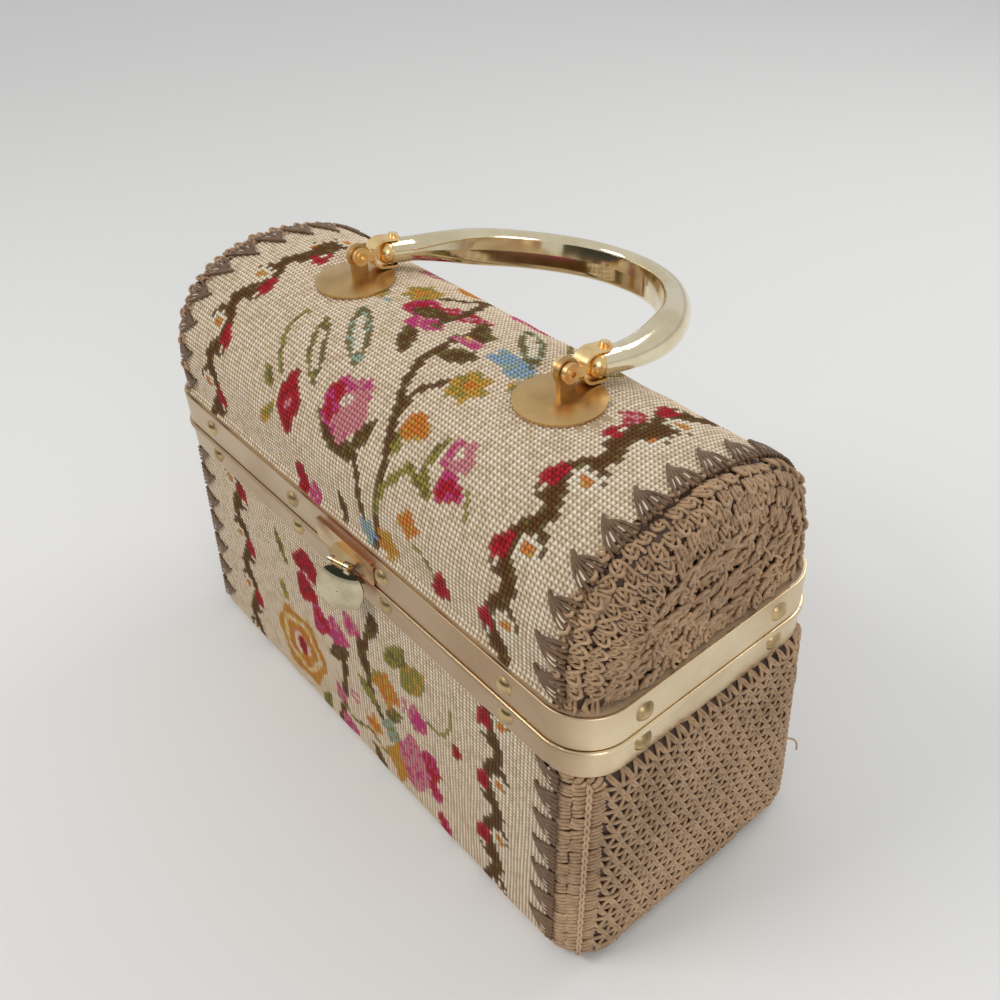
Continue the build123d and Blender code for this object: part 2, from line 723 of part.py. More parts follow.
# Plugs, forked fittings and pins at the two ends of the handle
yoke_inner = leg_size / 2 + clevis_play
yoke_outer = yoke_inner + clevis_wall
slot_half = lug_width / 2 + side_play
for place, side in (("left", -1), ("right", 1)):
    end_x = side * handle_half
    end_plane = Plane(
        (end_x, pivot_y + tube_start * tilt_y, pivot_height + tube_start * tilt_z),
        x_dir=(side, 0, 0),
        z_dir=(0, tilt_y, tilt_z),
    )
    eye_plane = Plane((end_x, pivot_y, pivot_height), x_dir=(0, tilt_y, tilt_z), z_dir=(1, 0, 0))
    with BuildPart() as plug:
        with BuildSketch(end_plane):
            with BuildLine():
                tube_outline(0, tube_wall)
            make_face()
        extrude(amount=plug_reach)
        with BuildSketch(end_plane):
            Circle(plug_head)
        extrude(amount=-plug_head_length)
        fillet(plug.edges().filter_by(GeomType.CIRCLE).group_by(Axis.Y)[0], plug_dome)
        with BuildSketch(handle_plane.offset(-leg_size)):
            with Locations((end_x, cross_pin_place)):
                Circle(cross_pin)
        extrude(amount=2 * leg_size, mode=Mode.SUBTRACT)
    plug.part.label = f"tube_plug_{place}"
    export_step(plug.part, f"parts/tube_plug_{place}.step")

    with BuildPart() as clevis:
        with BuildSketch(eye_plane.offset(-clevis_width / 2)):
            with Locations(((yoke_centre + yoke_end) / 2, 0)):
                Rectangle(yoke_end - yoke_centre, 2 * yoke_outer)
            with Locations((yoke_centre, 0)):
                Circle(yoke_outer)
                Circle(yoke_inner, mode=Mode.SUBTRACT)
            with Locations(((yoke_centre + yoke_end) / 2, 0)):
                Rectangle(yoke_end - yoke_centre, 2 * yoke_inner, mode=Mode.SUBTRACT)
            neck_end = yoke_centre - yoke_outer + clevis_wall / 2
            with Locations((neck_end / 2, 0)):
                Rectangle(neck_end, 2 * clevis_neck)
            Circle(clevis_eye)
            Circle(pivot_pin, mode=Mode.SUBTRACT)
        extrude(amount=clevis_width)
        tips = clevis.edges().filter_by(Axis(eye_plane.origin, eye_plane.y_dir))
        fillet(tips.filter_by(lambda edge: eye_plane.to_local_coords(edge.center()).X > yoke_end - 1), yoke_round)
        with BuildSketch(eye_plane.offset(-slot_half)):
            Circle(lug_radius + slot_clear)
        extrude(amount=2 * slot_half, mode=Mode.SUBTRACT)
        with BuildSketch(handle_plane.offset(-2 * leg_size)):
            with Locations((end_x, cross_pin_place)):
                Circle(cross_pin)
        extrude(amount=4 * leg_size, mode=Mode.SUBTRACT)
    clevis.part.label = f"clevis_{place}"
    export_step(clevis.part, f"parts/clevis_{place}.step")

    with BuildPart() as pivot:
        with BuildSketch(eye_plane.offset(-clevis_width / 2)):
            Circle(pivot_pin)
        extrude(amount=clevis_width)
        for face_side in (-1, 1):
            face_plane = Plane(
                (end_x + face_side * clevis_width / 2, pivot_y, pivot_height),
                x_dir=(0, 1, 0),
                z_dir=(face_side, 0, 0),
            )
            with BuildSketch(face_plane):
                Circle(pin_head)
            extrude(amount=pin_head_height)
            with BuildSketch(face_plane.offset(pin_head_height)):
                Circle(pin_bore)
            extrude(amount=-pin_bore_depth, mode=Mode.SUBTRACT)
    pivot.part.label = f"handle_pin_{place}"
    export_step(pivot.part, f"parts/handle_pin_{place}.step")

    with BuildPart() as cross:
        with BuildSketch(handle_plane.offset(-yoke_outer)):
            with Locations((end_x, cross_pin_place)):
                Circle(cross_pin)
        extrude(amount=2 * yoke_outer)
        with BuildSketch(handle_plane.offset(yoke_outer)):
            with Locations((end_x, cross_pin_place)):
                Circle(cross_head)
        extrude(amount=cross_head_height)
    cross.part.label = f"cross_pin_{place}"
    export_step(cross.part, f"parts/cross_pin_{place}.step")

# Frame of the hasp pin: sketches on it run outward and down, and it points along the pin
pin_dir = Vector(cos(radians(hasp_turn)), sin(radians(hasp_turn)), 0)
out_dir = Vector(sin(radians(hasp_turn)), -cos(radians(hasp_turn)), 0)
hasp_centre = Vector(hasp_x, -band_front - hasp_pin_out, seam_height + hasp_pin_rise)
pin_plane = Plane(hasp_centre, x_dir=out_dir, z_dir=pin_dir)
knuckle_half = hasp_knuckle_width / 2
ear_start = knuckle_half + ear_gap

# Hasp plate on the upper band, with a strap that leans out to a turned knuckle
with BuildPart() as hasp_plate:
    with BuildSketch(pin_plane.offset(-strap_width / 2)):
        with BuildLine():
            Polyline(
                (-strap_root, -hasp_knuckle - strap_drop),
                (0, -hasp_knuckle),
                (0, strap_wall - hasp_knuckle),
                (-strap_root, strap_wall - hasp_knuckle - strap_drop),
                close=True,
            )
        make_face()
    extrude(amount=strap_width)
    for start in (knuckle_half, -strap_width):
        with BuildSketch(pin_plane.offset(start)):
            Circle(hasp_knuckle + ear_clear)
        extrude(amount=strap_width - knuckle_half, mode=Mode.SUBTRACT)
    with BuildSketch(pin_plane.offset(-knuckle_half)):
        Circle(hasp_knuckle)
    extrude(amount=hasp_knuckle_width)
    with BuildSketch(Plane.XZ.offset(band_front)):
        with Locations((hasp_plate_x, upper_rim + hasp_plate_lift + hasp_plate_height / 2)):
            RectangleRounded(hasp_plate_width, hasp_plate_height, hasp_plate_corner)
    extrude(amount=hasp_plate_wall)
    with BuildSketch(Plane.XZ.offset(band_front)):
        with Locations((hasp_x, seam_height)):
            Rectangle(4 * strap_width, 4 * strap_width)
    extrude(amount=-strap_width, mode=Mode.SUBTRACT)
    with BuildSketch(pin_plane.offset(-strap_width)):
        Circle(hasp_pin)
    extrude(amount=2 * strap_width, mode=Mode.SUBTRACT)
hasp_plate.part.label = "hasp_plate"
export_step(hasp_plate.part, "parts/hasp_plate.step")

with BuildPart() as hasp_pin_rod:
    with BuildSketch(pin_plane.offset(-ear_start - ear_width - hasp_pin_tip)):
        Circle(hasp_pin)
    extrude(amount=2 * (ear_start + ear_width + hasp_pin_tip))
hasp_pin_rod.part.label = "hasp_pin"
export_step(hasp_pin_rod.part, "parts/hasp_pin.step")

# Clasp disc: a shallow dome that hangs from two ears on the hasp pin
lean_out = sin(radians(disc_tilt))
lean_down = cos(radians(disc_tilt))
hang_dir = out_dir * lean_out - Vector(0, 0, lean_down)
face_dir = out_dir * lean_down + Vector(0, 0, lean_out)
leaf_plane = Plane(hasp_centre, x_dir=pin_dir, z_dir=face_dir)
disc_x = pin_dir.rotate(Axis((0, 0, 0), hang_dir), -disc_twist)
disc_face = face_dir.rotate(Axis((0, 0, 0), hang_dir), -disc_twist)
disc_centre = hasp_centre + hang_dir * disc_drop
disc_side = Plane(disc_centre, x_dir=disc_x, z_dir=hang_dir)
disc_ball = (disc_radius**2 + disc_rise**2) / (2 * disc_rise)
with BuildPart() as clasp_disc:
    with BuildSketch(disc_side):
        with BuildLine():
            RadiusArc((0, disc_rise), (disc_radius, 0), disc_ball)
            Line((disc_radius, 0), (disc_radius, disc_wall))
            RadiusArc((disc_radius, disc_wall), (0, disc_rise + disc_wall), -disc_ball)
            Line((0, disc_rise + disc_wall), (0, disc_rise))
        make_face()
    revolve(axis=Axis(disc_centre, disc_face))
    with BuildSketch(leaf_plane):
        with Locations((0, -(disc_tab + disc_drop - disc_radius + disc_tab_overlap) / 2)):
            Rectangle(
                2 * (ear_start + ear_width), disc_drop - disc_radius + disc_tab_overlap - disc_tab
            )
    extrude(amount=disc_wall)
    with BuildSketch(pin_plane.offset(-ear_start)):
        Circle(hasp_knuckle + ear_clear)
    extrude(amount=2 * ear_start, mode=Mode.SUBTRACT)
    for start in (ear_start, -ear_start - ear_width):
        with BuildSketch(leaf_plane):
            with Locations((start + ear_width / 2, -disc_tab / 2)):
                Rectangle(ear_width, disc_tab)
        extrude(amount=disc_wall)
        with BuildSketch(pin_plane.offset(start)):
            Circle(hasp_knuckle)
        extrude(amount=ear_width)
    with BuildSketch(pin_plane.offset(-strap_width)):
        Circle(hasp_pin + pin_play)
    extrude(amount=2 * strap_width, mode=Mode.SUBTRACT)
clasp_disc.part.label = "clasp_disc"
export_step(clasp_disc.part, "parts/clasp_disc.step")

# Spring behind the disc: a bridge and two legs that stand clear of the catch stud
spring_plane = Plane(disc_centre - hang_dir * spring_shift, x_dir=disc_x, z_dir=disc_face)
spring_half = spring_gap + spring_wall
with BuildPart() as clasp_spring:
    with BuildSketch(spring_plane.offset(-spring_wall)):
        Rectangle(2 * spring_half, spring_height)
    extrude(amount=spring_wall)
    for leg in (-1, 1):
        with BuildSketch(spring_plane.offset(-spring_wall)):
            with Locations((leg * (spring_gap + spring_wall / 2), 0)):
                Rectangle(spring_wall, spring_height)
        extrude(amount=-disc_radius)
    with BuildSketch(Plane.XZ.offset(band_front + spring_clear)):
        with Locations((hasp_x, stud_height)):
            Rectangle(4 * disc_radius, 4 * disc_radius)
    extrude(amount=-2 * disc_radius, mode=Mode.SUBTRACT)
    with BuildSketch(spring_plane):
        Circle(spring_rivet)
    extrude(amount=-spring_wall, mode=Mode.SUBTRACT)
clasp_spring.part.label = "clasp_spring"
export_step(clasp_spring.part, "parts/clasp_spring.step")

with BuildPart() as clasp_disc_rivet:
    with BuildSketch(spring_plane.offset(-spring_wall)):
        Circle(spring_rivet)
    extrude(amount=spring_wall + disc_rise + disc_wall / 2)
    add(clasp_disc.part, mode=Mode.SUBTRACT)
    with BuildSketch(spring_plane.offset(-spring_wall)):
        Circle(spring_rivet_head)
    extrude(amount=-spring_wall)
clasp_disc_rivet.part.label = "clasp_disc_rivet"
export_step(clasp_disc_rivet.part, "parts/clasp_disc_rivet.step")
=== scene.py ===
# %% [markdown]
# # A tapestry box bag with crocheted ends
# The bag has a stiff box and a domed lid, covered in flower tapestry, with crocheted cord at both
# ends, two riveted gold bands at the seam, a swinging gold handle and a small disc clasp.
# The metal parts come from the CAD frame and get new finishes here. The cloth parts are built
# again as meshes, because cloth needs stitches and loops that a plain solid does not have.

# %% Load the CAD frame
from math import atan2, pi

import bmesh
import bpy
import numpy as np
from mathutils import Matrix, Vector


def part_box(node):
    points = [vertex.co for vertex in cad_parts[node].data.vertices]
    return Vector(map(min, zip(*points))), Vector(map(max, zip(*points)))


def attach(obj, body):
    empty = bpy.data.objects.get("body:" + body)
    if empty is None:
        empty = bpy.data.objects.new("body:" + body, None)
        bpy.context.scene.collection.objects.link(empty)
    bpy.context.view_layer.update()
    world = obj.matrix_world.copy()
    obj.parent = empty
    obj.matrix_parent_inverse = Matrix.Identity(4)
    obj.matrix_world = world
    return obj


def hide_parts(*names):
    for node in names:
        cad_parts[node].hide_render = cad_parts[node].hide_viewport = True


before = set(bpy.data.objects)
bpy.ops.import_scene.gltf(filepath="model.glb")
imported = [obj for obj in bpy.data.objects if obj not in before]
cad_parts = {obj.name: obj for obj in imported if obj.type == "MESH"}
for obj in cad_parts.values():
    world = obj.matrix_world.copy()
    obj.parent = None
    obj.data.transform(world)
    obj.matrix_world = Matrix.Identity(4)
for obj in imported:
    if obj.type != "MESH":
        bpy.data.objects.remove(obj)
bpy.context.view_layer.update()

# %% [markdown]
# ## The camera
# A camera can be aimed by eye, but the photograph's angle matters here. Its place, its three axes
# and its lens were worked out beforehand from the straight bands and the rivets, so the script
# writes them straight into the camera's matrix. A camera looks along its own -Z.

# %% Place the camera
camera_place = Vector((0.27109, -0.18977, 0.36658))
camera_right = Vector((0.63995, 0.7673, -0.04139))
camera_down = Vector((0.45503, -0.42181, -0.78423))
camera_front = Vector((-0.6192, 0.48304, -0.61908))
film_width, lens_share = 36, 1.02763
camera_data = bpy.data.cameras.new("camera")
camera_data.sensor_width = film_width
camera_data.lens = film_width * lens_share
camera_data.clip_start = 0.01
camera = bpy.data.objects.new("camera", camera_data)
turn = Matrix((camera_right, -camera_down, -camera_front)).transposed()
camera.matrix_world = Matrix.Translation(camera_place) @ turn.to_4x4()
bpy.context.scene.collection.objects.link(camera)
bpy.context.scene.camera = camera
bpy.context.scene.view_settings.view_transform = "Standard"
print("camera lens", round(camera_data.lens, 2), "mm")

# %% [markdown]
# ## Light, floor and cards
# Studio product light is a few large soft lamps. A broad lamp over the left shoulder makes the
# main light, one from the right fills, and one behind lifts the handle's edge. An even pale world
# gives most of the light, so the far floor stays as pale as the near floor. Polished metal shows
# whatever stands round it, so a dark card in front of the bag gives it contrast. The card is
# hidden from the camera and shows only in the metal.

# %% Build the lamps
def area_lamp(name, place, aim, size, power, colour=(1, 1, 1)):
    data = bpy.data.lights.new(name, "AREA")
    data.shape = "RECTANGLE"
    data.size, data.size_y = size
    data.energy = power
    data.color = colour
    lamp = bpy.data.objects.new(name, data)
    lamp.location = place
    lamp.rotation_euler = (Vector(aim) - Vector(place)).to_track_quat("-Z", "Y").to_euler()
    bpy.context.scene.collection.objects.link(lamp)
    return lamp


area_lamp("main_lamp", (-0.35, -0.75, 1.0), (0, 0, 0.1), (0.5, 0.4), 5.0, (1, 0.97, 0.93))
area_lamp("fill_lamp", (1.0, -0.35, 0.55), (0, 0, 0.1), (0.4, 0.4), 2.0)
area_lamp("back_lamp", (0.1, 0.9, 0.9), (0, 0, 0.15), (0.6, 0.3), 3.0)


# %% Build the floor, the cards and the world
def linear(*colour):
    """Screen colour, 0 to 255, as the linear values that shaders use."""
    share = np.array(colour, float) / 255
    return np.where(share <= 0.04045, share / 12.92, ((share + 0.055) / 1.055) ** 2.4)


def rgba(*colour):
    return (*linear(*colour), 1)


def new_material(name, values):
    """A material, its node tree and its shader, with the shader's plain values set."""
    material = bpy.data.materials.new(name)
    material.use_nodes = True
    shader = material.node_tree.nodes["Principled BSDF"]
    for socket, value in values.items():
        shader.inputs[socket].default_value = value
    return material, material.node_tree, shader


def plain_material(name, colour, roughness):
    return new_material(name, {"Base Color": rgba(*colour), "Roughness": roughness})[0]


def as_mesh(form, name):
    """The finished mesh of a form, which is then let go."""
    mesh = bpy.data.meshes.new(name)
    form.to_mesh(mesh)
    form.free()
    return mesh


def show(name, mesh):
    thing = bpy.data.objects.new(name, mesh)
    bpy.context.scene.collection.objects.link(thing)
    return thing


def card(name, half, matrix, material):
    form = bmesh.new()
    bmesh.ops.create_grid(form, x_segments=1, y_segments=1, size=half)
    bmesh.ops.transform(form, matrix=matrix, verts=form.verts)
    mesh = as_mesh(form, name)
    mesh.materials.append(material)
    thing = show(name, mesh)
    return thing


upright = Matrix.Rotation(pi / 2, 4, "X")
floor = card("floor", 6, Matrix.Identity(4), plain_material("floor_paper", (226, 225, 223), 0.7))
dark_paper = plain_material("card_paper", (52, 58, 54), 0.9)
front_card = Matrix.Translation((0, -1.3, 0.32)) @ Matrix.Diagonal((2.2, 1, 0.5, 1)) @ upright
card("front_card", 0.5, front_card, dark_paper).visible_camera = False
world = bpy.data.worlds.new("studio")
world.use_nodes = True
background = world.node_tree.nodes["Background"]
background.inputs["Color"].default_value = (0.93, 0.95, 0.96, 1)
background.inputs["Strength"].default_value = 0.68
bpy.context.scene.world = world
print("stage pieces:", floor.name, "front_card")

# %% [markdown]
# ## Following the bag's section
# Every cloth cover is drawn flat first and then laid on the box, as a maker cuts and glues it. To
# do that the script needs the bag's section as one long line, and for any length along it the
# place and the outward direction. A dense row of points and linear reading between them is simple
# and exact enough, and the same helper serves the lid, the lower box and the linings.

# %% A line that can be read by length
class Section:
    def __init__(self, points):
        self.points = np.array(points, float)
        steps = np.linalg.norm(np.diff(self.points, axis=0), axis=1)
        self.at = np.concatenate([[0], np.cumsum(steps)])
        self.length = self.at[-1]

    def read(self, length):
        """Place (y, z) and outward normal (y, z) at these lengths."""
        step = 0.0004
        place = [np.interp(length, self.at, self.points[:, k]) for k in (0, 1)]
        near = [np.interp(length - step, self.at, self.points[:, k]) for k in (0, 1)]
        past = [np.interp(length + step, self.at, self.points[:, k]) for k in (0, 1)]
        along_y, along_z = past[0] - near[0], past[1] - near[1]
        size = np.maximum(np.hypot(along_y, along_z), 1e-9)
        return place[0], place[1], -along_z / size, along_y / size


def arc(centre, radius, start, end, count=40):
    turns = np.linspace(start, end, count)
    return [(centre[0] + radius * np.cos(t), centre[1] + radius * np.sin(t)) for t in turns]


lid_half, lid_foot, lid_top = 0.0545, 0.1282, 0.1848
shoulder_y, shoulder_z, shoulder_radius = 0.0145, 0.1422, 0.040
crown_radius = 0.08173
crown_z = lid_top - crown_radius
shoulder_turn = atan2(shoulder_z - crown_z, shoulder_y)


def arch(inset, foot_out=0.0):
    """The lid's section from the front foot over the top to the back foot."""
    front = [(-lid_half - foot_out + inset, lid_foot), (-lid_half + inset, lid_foot + 2 * foot_out)]
    rise = arc((-shoulder_y, shoulder_z), shoulder_radius - inset, pi, pi - shoulder_turn)
    top = arc((0, crown_z), crown_radius - inset, pi - shoulder_turn, shoulder_turn)
    fall = arc((shoulder_y, shoulder_z), shoulder_radius - inset, shoulder_turn, 0)
    back = [(-y, z) for y, z in reversed(front)]
    return Section(front + rise + top[1:-1] + fall + back)


body_top, foot_depth, neck_depth, bottom_round = 0.1009, 0.0625, 0.0564, 0.007
tuck_y, tuck_z = 0.0535, 0.0003
lid_line = arch(0, foot_out=0.0016)
side_line = Section(
    [(-tuck_y, tuck_z)]
    + arc((-foot_depth + bottom_round, bottom_round), bottom_round, 1.5 * pi, pi)
    + [(-neck_depth, body_top)]
)
print("lid line", round(lid_line.length, 4), "side line", round(side_line.length, 4))

# %% [markdown]
# ## Painting the tapestry
# Real tapestry is a grid of stitches, each in one wool. So the picture is painted stitch by stitch:
# a table holds one colour per stitch, and small functions lay down spots, leaves, stems and roses
# the way an embroiderer would count them out. An image texture would be quicker, but it would be
# someone's picture, and it would blur close up, where a stitch has a crisp edge.

# %% Wools and a blank piece of canvas
stitch = 0.0018
wool = {
    "ivory": (232, 210, 182),
    "sand": (214, 190, 158),
    "white": (232, 218, 192),
    "red": (176, 28, 42),
    "deep_red": (142, 24, 32),
    "magenta": (196, 62, 116),
    "pink": (206, 130, 134),
    "mustard": (196, 148, 56),
    "straw": (222, 184, 108),
    "orange": (206, 120, 44),
    "olive": (146, 134, 60),
    "moss": (112, 96, 48),
    "brown": (96, 62, 26),
    "blue": (138, 162, 186),
    "teal": (150, 166, 148),
}
wool = {name: linear(*colour) for name, colour in wool.items()}
chance = np.random.default_rng(7)


class Canvas:
    def __init__(self, width, length):
        self.columns, self.rows = round(width / stitch), round(length / stitch)
        across = (np.arange(self.columns) + 0.5) / self.columns * width - width / 2
        up = (np.arange(self.rows) + 0.5) / self.rows * length
        self.x, self.y = np.meshgrid(across * 1000, up * 1000)
        self.colour = np.zeros((self.rows, self.columns, 3))
        self.fill(np.ones_like(self.x, bool), "ivory", "sand", 0.3)

    def fill(self, where, first, second, share=0.5):
        """Two wools mixed at random over part of the canvas."""
        other = chance.random(self.x.shape) < share
        for name, part in ((first, where & ~other), (second, where & other)):
            self.colour[part] = wool[name]

    def spot(self, x, y, wide, high, first, second, lean=0.0, lobes=0, depth=0.18, share=0.35):
        """A petalled spot: an ellipse whose edge may wave."""
        dx, dy = self.x - x, self.y - y
        lean = np.radians(lean)
        across = (dx * np.cos(lean) + dy * np.sin(lean)) / wide
        up = (dy * np.cos(lean) - dx * np.sin(lean)) / high
        edge = 1 + depth * np.cos(lobes * np.arctan2(up, across)) if lobes else 1
        self.fill(np.hypot(across, up) < edge, first, second, share)

    def stem(self, points, wide, first="brown", second="moss", share=0.15):
        away = np.full(self.x.shape, 1e9)
        for (ax, ay), (bx, by) in zip(points, points[1:]):
            px, py = bx - ax, by - ay
            share_along = np.clip(((self.x - ax) * px + (self.y - ay) * py) / (px * px + py * py), 0, 1)
            away = np.minimum(away, np.hypot(self.x - ax - share_along * px, self.y - ay - share_along * py))
        self.fill(away < wide / 2, first, second, share)

    def leaf(self, start, end, wide, first="moss", second="brown", vein=None, share=0.3):
        """A pointed leaf from its stalk to its tip, with a pale vein if one is named."""
        px, py = end[0] - start[0], end[1] - start[1]
        long = np.hypot(px, py)
        along = ((self.x - start[0]) * px + (self.y - start[1]) * py) / long**2
        side = ((self.y - start[1]) * px - (self.x - start[0]) * py) / long
        half = wide / 2 * np.sin(np.clip(along, 0, 1) * pi) ** 0.7
        inside = (along > 0) & (along < 1) & (np.abs(side) < half)
        self.fill(inside, first, second, share)
        if vein:
            middle = (np.abs(side) < half * 0.42) & (along > 0.2) & (along < 0.8)
            self.fill(inside & middle, vein, "sand", 0.2)

    def daisy(self, x, y, size=4.6, heart="orange"):
        self.spot(x, y, size, size, "white", "ivory", lobes=8, depth=0.22, share=0.15)
        self.spot(x, y, size * 0.46, size * 0.46, heart, "mustard")

    def rose(self, x, y, size, outer, inner, heart="white"):
        self.spot(x, y, size, size * 1.05, outer, inner, lobes=5, depth=0.1)
        self.spot(x + size * 0.35, y - size * 0.1, size * 0.62, size * 0.8, inner, "pink", lobes=3)
        self.spot(x - size * 0.1, y + size * 0.15, size * 0.26, size * 0.3, heart, inner)

    def soften(self, share=0.16):
        """Fuzzy wool: each stitch takes a little of the colour of its neighbours."""
        edged = np.pad(self.colour, ((1, 1), (1, 1), (0, 0)), mode="edge")
        around = edged[:-2, 1:-1] + edged[2:, 1:-1] + edged[1:-1, :-2] + edged[1:-1, 2:]
        self.colour = (1 - share) * self.colour + share / 4 * around

    def garland(self, x, first, count, pitch):
        side = 1 if x > 0 else -1
        wave = [(2.5, -0.52), (4.5, -0.4), (2, -0.22), (-2.6, 0.04), (-1.6, 0.26), (2.5, 0.48)]
        for k in range(count):
            y = first + k * pitch
            wave = [(2.5, -0.52), (4.5, -0.4), (2, -0.22), (-2.6, 0.04), (-1.6, 0.26), (2.5, 0.48)]
            self.stem([(x + side * dx, y + dy * pitch) for dx, dy in wave], 5.4, "brown", "moss", 0.1)
            self.leaf((x + side * 1, y + 0.46 * pitch), (x + side * 10.5, y + 0.12 * pitch), 7, "brown")
            self.leaf((x + side * 3, y - 0.3 * pitch), (x - side * 7, y - 0.16 * pitch), 6, "brown")
            self.spot(x - side * 4.6, y, 3.8, 5.4, "red", "deep_red", lean=-side * 12)
            self.spot(x - side * 4.4, y - 5.2, 1.6, 1.6, "white", "ivory")
            self.daisy(x + side * 5, y + 0.14 * pitch, 5)


print("wools:", len(wool))


# %% Paint the lid
def paint_lid(canvas, flip=False):
    """The lid's front half, or the same flowers turned round for its back half."""
    if flip:
        canvas.x, canvas.y = -canvas.x, lid_line.length * 1000 - canvas.y
    c = canvas
    c.stem([(26, 3), (27, 38), (19.5, 54), (11.5, 66), (7, 78), (6.5, 88)], 3.7)
    c.stem([(19.5, 54), (19, 66), (25, 75)], 3)
    c.stem([(9, 35), (14, 28), (19, 12)], 3)
    c.leaf((-24, 45), (-46, 70), 9, "moss", "olive", "ivory")
    c.leaf((-12, 60), (-40, 84), 10, "moss", "teal", "white")
    c.stem([(-44, 42), (-51, 49), (-57, 58), (-56, 68)], 2.6, "olive", "moss")
    c.leaf((-46, 34), (-55, 41), 5, "olive", "moss")
    c.leaf((-43, 30), (-52, 18), 5.5, "olive", "mustard")
    c.leaf((-2, 74), (-14, 88), 8, "brown", "moss")
    c.leaf((4, 90), (16, 104), 9, "moss", "brown", "straw")
    c.leaf((8, 82), (24, 90), 9, "brown", "moss")
    c.spot(-34.5, 34, 6.6, 12, "red", "deep_red", lean=12, lobes=4, depth=0.1)
    c.spot(-34, 33, 1.6, 3, "pink", "red")
    c.leaf((-16, 40), (10, 30), 11, "brown", "moss")
    c.leaf((8, 34), (14, 48), 7, "brown", "moss")
    c.rose(-3, 46, 11.5, "magenta", "pink")
    c.spot(-11, 45, 4.6, 8.5, "red", "magenta", lean=10)
    c.spot(-21, 99, 9, 7, "red", "magenta", lobes=3)
    c.spot(-12, 93, 8, 6.5, "magenta", "pink", lobes=3)
    c.spot(-8, 106, 12, 5, "red", "pink", lean=20, lobes=4)
    c.spot(31, 54, 6, 5, "orange", "mustard", lobes=3)
    c.leaf((26, 50), (29, 42), 5, "olive", "moss")
    c.spot(33, 77, 7.5, 7.5, "mustard", "olive", lobes=6, depth=0.14, share=0.45)
    c.spot(33, 78, 3.2, 3.2, "orange", "mustard")
    c.stem([(46, 56), (44, 44), (51, 37), (38, 42), (29, 29), (27, 20)], 3, "olive", "moss", 0.3)
    c.rose(54, 54, 6.5, "magenta", "pink")
    c.spot(57.5, 44, 6.2, 5, "red", "magenta", lobes=3)
    c.stem([(66, 46), (70, 38)], 1.8, "olive", "moss")
    c.spot(45.5, 24, 5, 4.6, "orange", "mustard", lobes=4)
    c.stem([(48, 18), (53, 17), (60, 12)], 1.8, "olive", "moss")
    c.spot(63.5, 9, 4.4, 6, "red", "deep_red", lean=-25, lobes=3)
    c.spot(-24, 6, 4.4, 7, "red", "deep_red", lean=15)
    c.spot(-15, 3.5, 4.4, 5, "magenta", "pink")
    c.leaf((3, 14), (6.5, 1), 5, "brown", "moss")
    c.spot(21, 7, 4.6, 5, "blue", "teal", lobes=5)
    c.spot(33, 8, 6, 5.6, "mustard", "orange", lobes=5)
    c.spot(34, 97, 11, 6, "blue", "teal", lobes=5)
    c.leaf((41, 92), (48, 84), 4.6, "olive", "mustard")
    c.spot(84, 104, 5, 4, "red", "pink", lobes=4)
    for side in (-1, 1):
        c.garland(side * 91.5, 12, 4, 27.4)
    if flip:
        canvas.x, canvas.y = -canvas.x, lid_line.length * 1000 - canvas.y


lid_canvas = Canvas(0.2375, lid_line.length)
back_half = lid_canvas.y > lid_line.length * 1000 / 2
paint_lid(lid_canvas)
front_paint = lid_canvas.colour.copy()
paint_lid(lid_canvas, flip=True)
lid_canvas.colour[~back_half] = front_paint[~back_half]
lid_canvas.soften()
print("lid stitches:", lid_canvas.columns, "x", lid_canvas.rows)


